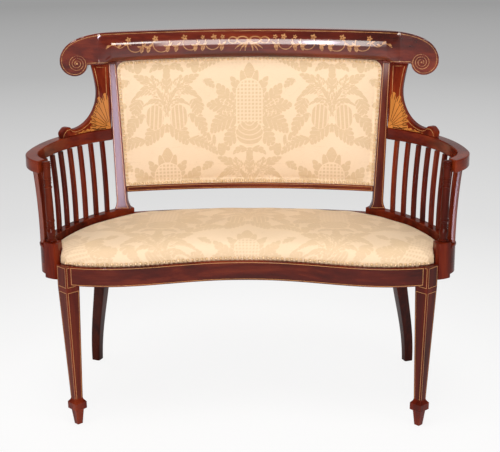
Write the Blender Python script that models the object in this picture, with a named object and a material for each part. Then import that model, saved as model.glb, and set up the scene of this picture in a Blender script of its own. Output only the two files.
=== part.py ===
# Inlaid two-seat salon settee: kidney-shaped seat, horseshoe galleries of flat
# spindles under curved arms, and an upholstered back under a scrolled crest rail.
# Metres, +Z up, the sitter faces -Y. Left and right are as seen from the front.

import bpy
import bmesh
import math
from mathutils import Vector

# Clearance between neighbouring pieces
GAP = 0.0003

# Seat front: the serpentine face of the front rail
SEAT_CURVE_MEAN = 0.008
SEAT_CURVE_SWING = 0.028
LOBE_X = 0.335
LOBE_POWER = 1.1
FRONT_RAIL_TOP = 0.413
FRONT_RAIL_HEIGHT = 0.048
FRONT_RAIL_THICKNESS = 0.032
SEAT_LEDGE = 0.011
REBATE_DEPTH = 0.008

# Front legs, square and turned arris to the front, with spade feet
FRONT_LEG_X = 0.428
FRONT_LEG_Y = 0.010
FRONT_LEG_INSET = 0.007
LEG_TOP_SIZE = 0.038
LEG_ANKLE_SIZE = 0.0215
FOOT_COLLAR_SIZE = 0.034
FOOT_NECK_SIZE = 0.022
FOOT_SOLE_SIZE = 0.015
FOOT_NECK_HEIGHT = 0.0355
FOOT_COLLAR_LOW = 0.0415
FOOT_COLLAR_HIGH = 0.0585
FOOT_TOP = 0.069

# Horseshoe gallery, measured at the outer face of the side rail
SIDE_RADIUS = 0.3894
CORNER_RADIUS = 0.060
CORNER_TURN = 8.0
CORNER_OUT = 0.0138
CORNER_BACK = 0.0585
SIDE_RAIL_THICKNESS = 0.024
SIDE_RAIL_BOTTOM = 0.383
SIDE_RAIL_RISE = 0.014
SEAT_CLEAT = 0.014
BLOCK_WIDTH = 0.034
BLOCK_BOTTOM = 0.375
BLOCK_TOP = 0.463
BLOCK_STEP = 0.008
BLOCK_TURN = -42.0
BLOCK_END_TURN = -82.0

# Spindles and columns
SPINDLE_COUNT = 9
SPINDLE_SIZE = 0.0105
SPINDLE_INSET = 0.0059
SPINDLE_FLARE = 0.0115
SPINDLE_FIRST_TURN = 47.65
SPINDLE_STEPS = 5
COLUMN_RADIUS = 0.0102
COLUMN_TOP = 0.659
COLUMN_TURN = -49.0
COLUMN_INSET = 0.020
COLUMN_FLARE = 0.004

# Arms
ARM_WIDTH = 0.029
ARM_THICKNESS = 0.030
ARM_OUTSET = 0.0105
ARM_TOP_BACK = 0.683
ARM_DROP = 0.022
ARM_END_TURN = -60.0
ARM_BOW_OUT = 0.004
ARM_BOW_BACK = 0.030
ARM_CHAMFER = 0.003

# Back frame
POST_X = 0.3354
POST_TOP_X = 0.3531
POST_LEAN = 0.040
POST_BASE_WIDTH = 0.042
POST_WIDTH_LOW = 0.028
POST_WIDTH_HIGH = 0.021
POST_DEPTH_LOW = 0.027
POST_DEPTH_HIGH = 0.024
POST_FLARE_HEIGHT = 0.024
BACK_SAG = 0.044
BACK_RAIL_THICKNESS = 0.026
BACK_RAIL_TOP = 0.452
LOWER_RAIL_BOTTOM = 0.513
LOWER_RAIL_HEIGHT = 0.016
LOWER_RAIL_DEPTH = 0.022

# Crest rail with a scroll at each end
CREST_BOTTOM = 0.857
CREST_END_BOTTOM = 0.845
CREST_TOP = 0.931
CREST_TOP_DROP = 0.0030
CREST_ARCH_X = 0.340
CREST_FRONT = 0.013
CREST_REAR = 0.017
CREST_ROLL = 0.017
ROLL_END_X = 0.350
ROLL_FADE = 0.036
SCROLL_X = 0.4395
SCROLL_Z = 0.850
SCROLL_RADIUS = 0.0415
SCROLL_GROWTH = 0.17
SCROLL_LEAVE = 20.0
SCROLL_PULL = 0.047
ARCH_PULL = 0.077

# Wings between arm and crest
WING_THICKNESS = 0.016
WING_DIP = 0.013
WING_ARC = 0.096
WING_DIP_LENGTH = 0.136
WING_LENGTH = 0.1855
WING_TOP_LENGTH = 0.043
EAR_LENGTH = 0.024
EAR_HEIGHT = 0.007

# Back legs
BACK_LEG_TURN = 44.0
BACK_LEG_SPREAD = 0.052
BACK_LEG_RAKE = 0.145
BACK_LEG_TOP_SIZE = 0.035
BACK_LEG_FOOT_SIZE = 0.024
BACK_LEG_TWIST = 22.0

# Upholstery
PAD_CROWN_TOP = 0.479
PAD_EDGE_TOP = 0.446
CLOTH = 0.001
WEB_THICKNESS = 0.0015
WEB_WIDTH = 0.050
SEAT_WEBS_LONG = 3
SEAT_WEBS_CROSS = 7
BACK_PAD_EDGE = 0.012
BACK_PAD_CROWN = 0.014
BACK_PAD_REAR = 0.003
BACK_CORNER = 0.022
NAIL_RADIUS = 0.0040
NAIL_DOME = 0.0028
SEAT_NAIL_PITCH = 0.0114
BACK_NAIL_PITCH = 0.0104
NAIL_WAIST = 0.35
SEAT_STEPS = 15

# Glue blocks and screws under the seat
GLUE_BLOCK_HEIGHT = 0.030
GLUE_BLOCK_LENGTH = 0.085
GLUE_BLOCK_DEPTH = 0.042
GLUE_BLOCK_LEG_SIDE = 0.012
BACK_BLOCK_LENGTH = 0.060
BACK_BLOCK_TURN = 10.0
BACK_BLOCK_CORNER = 0.003
SCREW_RADIUS = 0.0024
SCREW_HEAD_RADIUS = 0.0044
SCREW_LENGTH = 0.034

LEFT, RIGHT = -1, 1
SIDES = ((LEFT, "left"), (RIGHT, "right"))


# Materials

def makeMaterial(name, colour, roughness, metallic=0.0):
    material = bpy.data.materials.new(name)
    material.use_nodes = True
    shader = material.node_tree.nodes["Principled BSDF"]
    shader.inputs["Base Color"].default_value = (*colour, 1.0)
    shader.inputs["Roughness"].default_value = roughness
    shader.inputs["Metallic"].default_value = metallic
    material.diffuse_color = (*colour, 1.0)
    return material


# Mesh helpers

def addObject(name, verts, faces, material, smooth=False):
    mesh = bpy.data.meshes.new(name)
    mesh.from_pydata([tuple(v) for v in verts], [], faces)
    work = bmesh.new()
    work.from_mesh(mesh)
    bmesh.ops.recalc_face_normals(work, faces=work.faces)
    work.to_mesh(mesh)
    work.free()
    if smooth:
        mesh.shade_smooth()
        mesh.set_sharp_from_angle(angle=math.radians(35))
    mesh.materials.append(material)
    obj = bpy.data.objects.new(name, mesh)
    bpy.context.collection.objects.link(obj)
    return obj


def loftMesh(rings):
    # Quads between successive closed rings, with a flat cap on each end
    count = len(rings[0])
    verts = [p for ring in rings for p in ring]
    faces = []
    for r in range(len(rings) - 1):
        a, b = r * count, (r + 1) * count
        for k in range(count):
            n = (k + 1) % count
            faces.append((a + k, a + n, b + n, b + k))
    faces.append(tuple(reversed(range(count))))
    faces.append(tuple(range(len(verts) - count, len(verts))))
    return verts, faces


def addLoft(name, rings, material, smooth=False):
    verts, faces = loftMesh(rings)
    return addObject(name, verts, faces, material, smooth)


def gridMesh(front, rear):
    # Closed shell between two point grids of the same size
    rows, cols = len(front), len(front[0])
    verts = [p for row in front for p in row] + [p for row in rear for p in row]
    half = rows * cols

    def at(side, r, c):
        return side * half + r * cols + c

    faces = []
    for r in range(rows - 1):
        for c in range(cols - 1):
            faces.append((at(0, r, c), at(0, r, c + 1), at(0, r + 1, c + 1), at(0, r + 1, c)))
            faces.append((at(1, r, c), at(1, r + 1, c), at(1, r + 1, c + 1), at(1, r, c + 1)))
    for c in range(cols - 1):
        faces.append((at(0, 0, c), at(1, 0, c), at(1, 0, c + 1), at(0, 0, c + 1)))
        last = rows - 1
        faces.append((at(0, last, c), at(0, last, c + 1), at(1, last, c + 1), at(1, last, c)))
    for r in range(rows - 1):
        faces.append((at(0, r, 0), at(0, r + 1, 0), at(1, r + 1, 0), at(1, r, 0)))
        last = cols - 1
        faces.append((at(0, r, last), at(1, r, last), at(1, r + 1, last), at(0, r + 1, last)))
    return verts, faces


def addGrid(name, front, rear, material, smooth=False):
    verts, faces = gridMesh(front, rear)
    return addObject(name, verts, faces, material, smooth)


def addGroup(name, solids, material):
    # Separate solids kept in one object
    verts, faces = [], []
    for solidVerts, solidFaces in solids:
        start = len(verts)
        verts.extend(solidVerts)
        faces.extend(tuple(start + i for i in face) for face in solidFaces)
    return addObject(name, verts, faces, material)


def addLattice(name, first, second, material):
    # Two sets of crossing strips, joined where they cross
    lattice = addGroup(name, first, material)
    other = addGroup(name + "_cross", second, material)
    other.hide_render = True
    other.display_type = 'WIRE'
    modifier = lattice.modifiers.new("join_crossings", 'BOOLEAN')
    modifier.operation = 'UNION'
    modifier.solver = 'EXACT'
    modifier.object = other


def beadRow(spots, radius, height, closed):
    # A row of touching nail heads: full at each nail, narrow and low between two
    verts = []
    count = len(spots)
    for i in range(count):
        for share, size in ((0.0, 1.0), (0.5, NAIL_WAIST)):
            if share and i == count - 1 and not closed:
                continue
            here, after = spots[i], spots[(i + 1) % count]
            centre = here[0].lerp(after[0], share)
            axis = here[1].lerp(after[1], share).normalized()
            across = axis.cross(here[2]).normalized()
            verts += [centre - across * radius * size, centre + axis * height * size,
                      centre + across * radius * size]
    rings = len(verts) // 3
    faces = []
    for r in range(rings if closed else rings - 1):
        a, b = 3 * r, 3 * ((r + 1) % rings)
        faces += [(a + k, a + (k + 1) % 3, b + (k + 1) % 3, b + k) for k in range(3)]
    if not closed:
        faces += [(0, 1, 2), (3 * rings - 3, 3 * rings - 2, 3 * rings - 1)]
    return verts, faces


def keepSide(obj, point, normal):
    # Cuts a piece by a plane, keeps the side the normal points away from, caps the cut
    work = bmesh.new()
    work.from_mesh(obj.data)
    geometry = work.verts[:] + work.edges[:] + work.faces[:]
    result = bmesh.ops.bisect_plane(work, geom=geometry, dist=1e-7, plane_co=point,
                                    plane_no=normal, clear_outer=True)
    edges = [g for g in result["geom_cut"] if isinstance(g, bmesh.types.BMEdge)]
    bmesh.ops.contextual_create(work, geom=edges)
    bmesh.ops.recalc_face_normals(work, faces=work.faces)
    work.to_mesh(obj.data)
    work.free()


def addCutter(name, rings):
    verts, faces = loftMesh(rings)
    cutter = addObject(name, verts, faces, CUTTER_MATERIAL)
    cutter.hide_render = True
    cutter.display_type = 'WIRE'
    return cutter


def cutBy(obj, cutter):
    modifier = obj.modifiers.new("cut_by_" + cutter.name, 'BOOLEAN')
    modifier.operation = 'DIFFERENCE'
    modifier.solver = 'EXACT'
    modifier.object = cutter


def smoothStep(t):
    t = max(0.0, min(1.0, t))
    return t * t * (3.0 - 2.0 * t)


# Plan curves

def frontFaceY(x):
    return SEAT_CURVE_MEAN + SEAT_CURVE_SWING * math.cos(math.pi * (abs(x) / LOBE_X) ** LOBE_POWER)


def frontPoint(x, inward):
    # Point of the serpentine, moved inward along its normal
    step = 0.0005
    slope = (frontFaceY(x + step) - frontFaceY(x - step)) / (2 * step)
    length = math.hypot(slope, 1.0)
    return x - slope / length * inward, frontFaceY(x) + inward / length


# Centres of the corner arc, behind the front leg, and of the side arc it runs into
CORNER_X = FRONT_LEG_X + CORNER_OUT
CORNER_Y = FRONT_LEG_Y + CORNER_BACK
CENTRE_X = CORNER_X - (SIDE_RADIUS - CORNER_RADIUS) * math.cos(math.radians(CORNER_TURN))
CENTRE_Y = CORNER_Y - (SIDE_RADIUS - CORNER_RADIUS) * math.sin(math.radians(CORNER_TURN))


def galleryPoint(turn, offset, side=RIGHT):
    # The side sweep is an arc that runs into the tighter corner arc at CORNER_TURN
    angle = math.radians(turn)
    if turn >= CORNER_TURN:
        x, y, radius = CENTRE_X, CENTRE_Y, SIDE_RADIUS
    else:
        x, y, radius = CORNER_X, CORNER_Y, CORNER_RADIUS
    reach = radius + offset
    return side * (x + reach * math.cos(angle)), y + reach * math.sin(angle)


def turnAtX(x, offset):
    return math.degrees(math.acos((x - CENTRE_X) / (SIDE_RADIUS + offset)))


def arcLengthTurn(turn, length, offset):
    # The turn reached after walking forward along an offset of the gallery curve
    sideLength = math.radians(turn - CORNER_TURN) * (SIDE_RADIUS + offset)
    if length <= sideLength:
        return turn - math.degrees(length / (SIDE_RADIUS + offset))
    return CORNER_TURN - math.degrees((length - sideLength) / (CORNER_RADIUS + offset))


def walkedLength(turnFrom, turn, offset):
    side = math.radians(turnFrom - max(turn, CORNER_TURN)) * (SIDE_RADIUS + offset)
    corner = math.radians(CORNER_TURN - min(turn, CORNER_TURN)) * (CORNER_RADIUS + offset)
    return side + corner


RAIL_MIDDLE = -SIDE_RAIL_THICKNESS / 2
POST_TURN = turnAtX(POST_X, RAIL_MIDDLE)
POST_Y = galleryPoint(POST_TURN, RAIL_MIDDLE)[1]
JOIN_X = POST_X - POST_BASE_WIDTH / 2 - 0.002
JOIN_TURN = turnAtX(JOIN_X, RAIL_MIDDLE)
JOIN_Y = galleryPoint(JOIN_TURN, RAIL_MIDDLE)[1]
SEAT_LEVEL = FRONT_RAIL_TOP - REBATE_DEPTH
FRONT_RAIL_BOTTOM = FRONT_RAIL_TOP - FRONT_RAIL_HEIGHT


SIDE_RAIL_TOP = BLOCK_TOP - BLOCK_STEP


def sideRailTop(turn):
    share = max(0.0, (turn - CORNER_TURN) / (POST_TURN - CORNER_TURN))
    return SIDE_RAIL_TOP + SIDE_RAIL_RISE * min(1.0, share)


POST_BASE_Z = sideRailTop(POST_TURN)
ARM_MIDDLE = ARM_OUTSET
ARM_LENGTH = walkedLength(POST_TURN, ARM_END_TURN, ARM_MIDDLE)


def armTop(turn):
    share = max(0.0, walkedLength(POST_TURN, min(turn, POST_TURN), ARM_MIDDLE) / ARM_LENGTH)
    return ARM_TOP_BACK - ARM_DROP * share ** 2


def armPoint(turn, offset, side=RIGHT):
    # The gallery curve, bowed outward and back by an even share as it nears the corner
    share = smoothStep((POST_TURN - turn) / (POST_TURN - CORNER_TURN))
    x, y = galleryPoint(turn, offset)
    return side * (x + ARM_BOW_OUT * share), y + ARM_BOW_BACK * share


def backMiddleY(x):
    # Centre line of the back seat rail
    return JOIN_Y + BACK_SAG * (JOIN_X / POST_X) ** 2 * (1 - (x / JOIN_X) ** 2)


def postShare(z):
    return (z - POST_BASE_Z) / (CREST_END_BOTTOM - POST_BASE_Z)


def postX(z):
    return POST_X + (POST_TOP_X - POST_X) * postShare(z)


def postY(z):
    return POST_Y + POST_LEAN * postShare(z)


def postWidth(z):
    return POST_WIDTH_LOW + (POST_WIDTH_HIGH - POST_WIDTH_LOW) * postShare(z)


def postDepth(z):
    return POST_DEPTH_LOW + (POST_DEPTH_HIGH - POST_DEPTH_LOW) * postShare(z)


def backY(x, z):
    # Centre surface of the back, hollow towards the sitter
    return postY(z) + BACK_SAG * (1 - (x / postX(z)) ** 2)


def crestBottom(x):
    if abs(x) >= POST_TOP_X - POST_WIDTH_HIGH / 2:
        return CREST_END_BOTTOM
    edge = (POST_TOP_X - POST_WIDTH_HIGH / 2)
    rise = CREST_BOTTOM - CREST_END_BOTTOM
    return CREST_BOTTOM - rise * 0.5 * (x / edge) ** 2


# Legs

def squareRing(x, y, size, z, twist, side=RIGHT):
    half = size / 2
    turn = math.radians(twist)
    ring = []
    for a, b in ((-half, -half), (half, -half), (half, half), (-half, half)):
        px = a * math.cos(turn) - b * math.sin(turn)
        py = a * math.sin(turn) + b * math.cos(turn)
        ring.append((side * (x + px), y + py, z))
    return ring


def frontLegRings(side):
    levels = ((0.0, FOOT_SOLE_SIZE), (FOOT_NECK_HEIGHT, FOOT_NECK_SIZE),
              (FOOT_COLLAR_LOW, FOOT_COLLAR_SIZE), (FOOT_COLLAR_HIGH, FOOT_COLLAR_SIZE),
              (FOOT_TOP, LEG_ANKLE_SIZE), (FRONT_RAIL_BOTTOM, LEG_TOP_SIZE),
              (FRONT_RAIL_TOP, LEG_TOP_SIZE))
    rings = []
    for z, size in levels:
        lean = FRONT_LEG_INSET * (1 - min(1.0, z / FRONT_RAIL_BOTTOM))
        rings.append(squareRing(FRONT_LEG_X - lean, FRONT_LEG_Y, size, z, 45, side))
    return rings


def legCutterRings(side, top):
    size = LEG_TOP_SIZE + 2 * GAP
    return [squareRing(FRONT_LEG_X, FRONT_LEG_Y, size, z, 45, side)
            for z in (FRONT_RAIL_BOTTOM - 0.02, top)]


def backLegRings(side):
    x, y = galleryPoint(BACK_LEG_TURN, RAIL_MIDDLE)
    top = SIDE_RAIL_BOTTOM - GAP
    rings = []
    steps = 10
    for i in range(steps + 1):
        drop = i / steps
        sweep = smoothStep(drop)
        size = BACK_LEG_TOP_SIZE + (BACK_LEG_FOOT_SIZE - BACK_LEG_TOP_SIZE) * drop
        rings.append(squareRing(x + BACK_LEG_SPREAD * sweep, y + BACK_LEG_RAKE * sweep,
                                size, top * (1 - drop), BACK_LEG_TWIST, side))
    return rings


def addLegs(wood):
    for side, word in SIDES:
        addLoft("front_leg_" + word, frontLegRings(side), wood)
        addLoft("back_leg_" + word, backLegRings(side), wood, smooth=True)


# Seat frame

def addFrontRail(wood, cutters):
    steps = 40
    reach = FRONT_LEG_X
    section = ((0, FRONT_RAIL_BOTTOM), (FRONT_RAIL_THICKNESS, FRONT_RAIL_BOTTOM),
               (FRONT_RAIL_THICKNESS, SEAT_LEVEL), (SEAT_LEDGE, SEAT_LEVEL),
               (SEAT_LEDGE, FRONT_RAIL_TOP), (0, FRONT_RAIL_TOP))
    rings = []
    for i in range(steps + 1):
        x = -reach + 2 * reach * i / steps
        rings.append([(*frontPoint(x, inward), z) for inward, z in section])
    rail = addLoft("front_seat_rail", rings, wood, smooth=True)
    for cutter in cutters:
        cutBy(rail, cutter)


def galleryRing(turn, side, section):
    return [(*galleryPoint(turn, offset, side), z) for offset, z in section]


def turnsBetween(first, last, step):
    # Whole steps on each side of the place where the two arcs meet
    turns = []
    if first > CORNER_TURN > last:
        count = max(2, round((first - CORNER_TURN) / step))
        turns = [first + (CORNER_TURN - first) * i / count for i in range(count)]
        first = CORNER_TURN
        step = step * 3
    count = max(2, round((first - last) / step))
    return turns + [first + (last - first) * i / count for i in range(count + 1)]


def railSection(turn):
    top = sideRailTop(turn)
    inner = -SIDE_RAIL_THICKNESS
    return ((0, SIDE_RAIL_BOTTOM), (0, top), (inner, top), (inner, SEAT_LEVEL),
            (inner - SEAT_CLEAT, SEAT_LEVEL), (inner - SEAT_CLEAT, SIDE_RAIL_BOTTOM))


def addSideRails(wood):
    gapTurn = math.degrees(GAP / CORNER_RADIUS) * 1.5
    for side, word in SIDES:
        turns = turnsBetween(JOIN_TURN + 4, BLOCK_TURN + gapTurn, 3.6)
        rings = [galleryRing(turn, side, railSection(turn)) for turn in turns]
        rail = addLoft("side_rail_" + word, rings, wood, smooth=True)
        keepSide(rail, (side * (JOIN_X + GAP / 2), 0, 0), (-side, 0, 0))


def addBackRail(wood, cutters):
    steps = 22
    half = BACK_RAIL_THICKNESS / 2
    section = ((half, SIDE_RAIL_BOTTOM), (half, BACK_RAIL_TOP), (-half, BACK_RAIL_TOP),
               (-half, SEAT_LEVEL), (-half - SEAT_CLEAT, SEAT_LEVEL),
               (-half - SEAT_CLEAT, SIDE_RAIL_BOTTOM))
    reach = JOIN_X - GAP / 2
    rings = []
    for i in range(steps + 1):
        x = -reach + 2 * reach * i / steps
        rings.append([(x, backMiddleY(x) + offset, z) for offset, z in section])
    rail = addLoft("back_seat_rail", rings, wood, smooth=True)
    for cutter in cutters:
        cutBy(rail, cutter)


def blockRings(side, grow):
    section = ((grow, BLOCK_BOTTOM - grow), (grow, BLOCK_TOP + grow),
               (-BLOCK_WIDTH - grow, BLOCK_TOP + grow), (-BLOCK_WIDTH - grow, BLOCK_BOTTOM - grow))
    extra = math.degrees(grow / (CORNER_RADIUS - BLOCK_WIDTH))
    first, last = BLOCK_TURN + extra, BLOCK_END_TURN - extra
    steps = 8
    turns = [first + (last - first) * i / steps for i in range(steps + 1)]
    return [galleryRing(turn, side, section) for turn in turns]


def addArmBlocks(wood, cutters):
    for (side, word), cutter in zip(SIDES, cutters):
        block = addLoft("arm_block_" + word, blockRings(side, 0.0), wood, smooth=True)
        cutBy(block, cutter)


# Gallery: spindles, columns, arms

def spindleTurns():
    offset = -SPINDLE_INSET
    columnTurn = COLUMN_TURN
    pitch = walkedLength(SPINDLE_FIRST_TURN, columnTurn, offset) / SPINDLE_COUNT
    return [arcLengthTurn(SPINDLE_FIRST_TURN, pitch * i, offset) for i in range(SPINDLE_COUNT)]


def spindlePlace(turn, share):
    # From the rail up to the arm, bending outward more and more
    offset = -SPINDLE_INSET + SPINDLE_FLARE * share ** 2
    low, high = galleryPoint(turn, offset), armPoint(turn, offset)
    return low[0] + (high[0] - low[0]) * share, low[1] + (high[1] - low[1]) * share


def spindleRing(turn, share, side, z):
    # Square laid along the gallery curve
    x, y = spindlePlace(turn, share)
    angle = math.radians(turn)
    half = SPINDLE_SIZE / 2
    ring = []
    for a, b in ((-half, -half), (half, -half), (half, half), (-half, half)):
        px = x + a * math.cos(angle) - b * math.sin(angle)
        py = y + a * math.sin(angle) + b * math.cos(angle)
        ring.append((side * px, py, z))
    return ring


def spindleFoot(turn):
    return max(sideRailTop(turn), sideRailTop(turn + 1.0)) + GAP


def spindleHead(turn):
    # Just under the lowest point of the arm above it
    return armTop(turn - 6.0) - ARM_THICKNESS - GAP


def addSpindles(wood):
    for side, word in SIDES:
        for number, turn in enumerate(spindleTurns(), start=1):
            low, high = spindleFoot(turn), spindleHead(turn)
            rings = [spindleRing(turn, i / SPINDLE_STEPS, side, low + (high - low) * i / SPINDLE_STEPS)
                     for i in range(SPINDLE_STEPS + 1)]
            addLoft("spindle_%s_%d" % (word, number), rings, wood, smooth=True)


def columnPlace(z):
    # Middle of the column at one height, leaning outward as it rises
    share = (z - BLOCK_TOP) / (COLUMN_TOP - BLOCK_TOP)
    return galleryPoint(COLUMN_TURN, -COLUMN_INSET + COLUMN_FLARE * share)


def columnProfile():
    # Radius against height: torus foot, rings, swelling shaft, rings and cap
    height = COLUMN_TOP - BLOCK_TOP
    shares = ((0.000, 1.15), (0.018, 1.25), (0.034, 1.00), (0.045, 0.78), (0.062, 1.02),
              (0.078, 0.80), (0.100, 0.95), (0.300, 0.88), (0.640, 0.80), (0.690, 0.78),
              (0.712, 1.00), (0.735, 0.84), (0.752, 1.00), (0.780, 0.90), (0.930, 0.95),
              (0.945, 1.05), (0.965, 0.95), (0.985, 1.05), (1.000, 0.80))
    return [(COLUMN_RADIUS * r, BLOCK_TOP + GAP + (height - GAP) * share) for share, r in shares]


def addColumns(wood):
    sides = 12
    for side, word in SIDES:
        rings = []
        for radius, z in columnProfile():
            x, y = columnPlace(z)
            rings.append([(side * x + radius * math.cos(math.tau * k / sides),
                           y + radius * math.sin(math.tau * k / sides), z)
                          for k in range(sides)])
        addLoft("arm_column_" + word, rings, wood, smooth=True)


def armSection(turn):
    top = armTop(turn)
    bottom = top - ARM_THICKNESS
    low, high = ARM_OUTSET - ARM_WIDTH / 2, ARM_OUTSET + ARM_WIDTH / 2
    c = ARM_CHAMFER
    return ((low, bottom + c), (low + c, bottom), (high - c, bottom), (high, bottom + c),
            (high, top - c), (high - c, top), (low + c, top), (low, top - c))


def addArms(wood):
    reach = COLUMN_RADIUS * 1.25 + GAP
    sides = 12
    for side, word in SIDES:
        turns = turnsBetween(POST_TURN + 6, ARM_END_TURN, 3.6)
        rings = [[(*armPoint(turn, offset, side), z) for offset, z in armSection(turn)]
                 for turn in turns]
        arm = addLoft("arm_rail_" + word, rings, wood, smooth=True)
        level = ARM_TOP_BACK
        outer = postX(level) + postWidth(level) / 2 + GAP
        keepSide(arm, (side * outer, 0, level), (-side, 0, postOuterSlope()))
        scoop = []
        for z in (COLUMN_TOP - 0.08, COLUMN_TOP + 0.08):
            x, y = columnPlace(z)
            scoop.append([(side * x + reach * math.cos(math.tau * (k + 0.5) / sides),
                           y + reach * math.sin(math.tau * (k + 0.5) / sides), z)
                          for k in range(sides)])
        cutBy(arm, addCutter("column_clearance_" + word, scoop))


# Back frame

def postOuterSlope():
    # Outward travel of the post's outer face for each metre of height
    rise = CREST_END_BOTTOM - POST_BASE_Z
    top = POST_TOP_X + POST_WIDTH_HIGH / 2
    low = POST_X + POST_WIDTH_LOW / 2
    return (top - low) / rise


def postRing(side, z, width):
    x, y = postX(z), postY(z)
    w, d = width / 2, postDepth(z) / 2
    return [(side * (x + a), y + b, z) for a, b in ((-w, -d), (w, -d), (w, d), (-w, d))]


def addPosts(wood):
    flare = (POST_BASE_WIDTH - POST_WIDTH_LOW)
    for side, word in SIDES:
        rings = []
        for share in (0.0, 0.2, 0.45, 1.0):
            z = POST_BASE_Z + GAP + POST_FLARE_HEIGHT * share
            rings.append(postRing(side, z, postWidth(z) + flare * (1 - share) ** 2))
        rings.append(postRing(side, CREST_END_BOTTOM - GAP, postWidth(CREST_END_BOTTOM)))
        addLoft("back_post_" + word, rings, wood)


def postInner(z):
    return postX(z) - postWidth(z) / 2


def addLowerRail(wood):
    steps = 18
    half = LOWER_RAIL_DEPTH / 2
    top = LOWER_RAIL_BOTTOM + LOWER_RAIL_HEIGHT
    rings = []
    for i in range(steps + 1):
        share = -1 + 2 * i / steps
        ring = []
        for offset, z in ((-half, LOWER_RAIL_BOTTOM), (half, LOWER_RAIL_BOTTOM),
                          (half, top), (-half, top)):
            x = share * (postInner(z) - GAP)
            ring.append((x, backY(x, z) + offset, z))
        rings.append(ring)
    addLoft("back_lower_rail", rings, wood, smooth=True)


def scrollPoint(angle):
    # Logarithmic spiral about the eye of the scroll, angle 0 pointing outward
    turn = math.radians(angle)
    radius = SCROLL_RADIUS * math.exp(SCROLL_GROWTH * turn)
    return SCROLL_X + radius * math.cos(turn), SCROLL_Z + radius * math.sin(turn)


def bezier(points, t):
    s = 1 - t
    weights = (s ** 3, 3 * s * s * t, 3 * s * t * t, t ** 3)
    return tuple(sum(w * p[i] for w, p in zip(weights, points)) for i in range(2))


def crestTopOutline():
    # From the outermost point of the scroll over the top to the middle of the arch
    points = [scrollPoint(a) for a in (0, 7, 14, SCROLL_LEAVE)]
    leave = math.radians(SCROLL_LEAVE)
    along = (SCROLL_GROWTH * math.cos(leave) - math.sin(leave),
             SCROLL_GROWTH * math.sin(leave) + math.cos(leave))
    length = math.hypot(*along)
    start = points[-1]
    archZ = crestArch(CREST_ARCH_X)
    archSlope = 2 * CREST_TOP_DROP / CREST_ARCH_X
    pull = SCROLL_PULL / length
    handles = (start, (start[0] + pull * along[0], start[1] + pull * along[1]),
               (CREST_ARCH_X + ARCH_PULL, archZ - ARCH_PULL * archSlope), (CREST_ARCH_X, archZ))
    points += [bezier(handles, i / 12) for i in range(1, 13)]
    return points


def crestArch(x):
    return CREST_TOP - CREST_TOP_DROP * (x / CREST_ARCH_X) ** 2


def outlineHeight(points, x):
    # Height of an outline, given outward to inward, at one x
    for (x1, z1), (x2, z2) in zip(points, points[1:]):
        if x2 <= x <= x1 and x1 > x2:
            return z1 + (z2 - z1) * (x1 - x) / (x1 - x2)
    return points[-1][1]


def crestStations():
    top = crestTopOutline()
    lower = [scrollPoint(a) for a in (0, -10, -20, -30, -42, -55, -68, -80, -92, -105,
                                      -118, -132, -145)]
    neck = scrollPoint(-145)[0]
    xs = [p[0] for p in lower]
    stations = []
    for x in xs:
        z = top[0][1] if x == xs[0] else outlineHeight(top, x)
        stations.append((x, outlineHeight(lower, x), z))
    stations[0] = (xs[0], SCROLL_Z - 0.002, SCROLL_Z + 0.002)
    edge = POST_TOP_X - POST_WIDTH_HIGH / 2
    start = neck - SCROLL_RADIUS * 0.07
    count = 6
    for i in range(count + 1):
        x = start + (edge + GAP - start) * i / count
        stations.append((x, CREST_END_BOTTOM, outlineHeight(top, x)
                         if x > CREST_ARCH_X else crestArch(x)))
    count = 9
    for i in range(count):
        x = edge * (1 - i / (count - 1))
        stations.append((x, crestBottom(x * 0.9999), crestArch(x)
                         if x < CREST_ARCH_X else outlineHeight(top, x)))
    return stations


def crestFront(x, z, low, high):
    # Flat at the scrolls, rolled over between them
    roll = CREST_ROLL * smoothStep((ROLL_END_X + ROLL_FADE - abs(x)) / ROLL_FADE)
    middle, half = (low + high) / 2, (high - low) / 2
    bow = math.sqrt(max(0.0, 1 - ((z - middle) / half) ** 2))
    return backY(x, CREST_END_BOTTOM) - CREST_FRONT - roll * bow


def addCrest(wood):
    shares = (0.0, 0.05, 0.16, 0.34, 0.5, 0.66, 0.84, 0.95, 1.0)
    half = crestStations()
    stations = [(-x, low, high) for x, low, high in half]
    stations += [station for station in reversed(half[:-1])]
    front, rear = [], []
    for x, low, high in stations:
        zs = [low + (high - low) * s for s in shares]
        front.append([(x, crestFront(x, z, low, high), z) for z in zs])
        rear.append([(x, backY(x, CREST_END_BOTTOM) + CREST_REAR, z) for z in zs])
    addGrid("crest_rail", front, rear, wood, smooth=True)


# Wings

def wingPlace(length, z):
    # Follows the arm's inner edge below and the back's own curve above
    turn = arcLengthTurn(POST_TURN, length, ARM_OUTSET - ARM_WIDTH / 2)
    low = armPoint(turn, ARM_OUTSET - ARM_WIDTH / 2)
    x = POST_TOP_X + POST_WIDTH_HIGH / 2 + length
    high = (x, backY(x, CREST_END_BOTTOM) - CREST_FRONT + 0.004)
    share = (z - ARM_TOP_BACK) / (CREST_END_BOTTOM - ARM_TOP_BACK)
    share = max(0.0, min(1.0, share))
    return low[0] * (1 - share) + high[0] * share, low[1] * (1 - share) + high[1] * share


def wingFoot(length):
    # Underside of the wing, just clear of the falling top of the arm
    turn = arcLengthTurn(POST_TURN, length, ARM_OUTSET - ARM_WIDTH / 2)
    return armTop(turn + 2) + GAP


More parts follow.
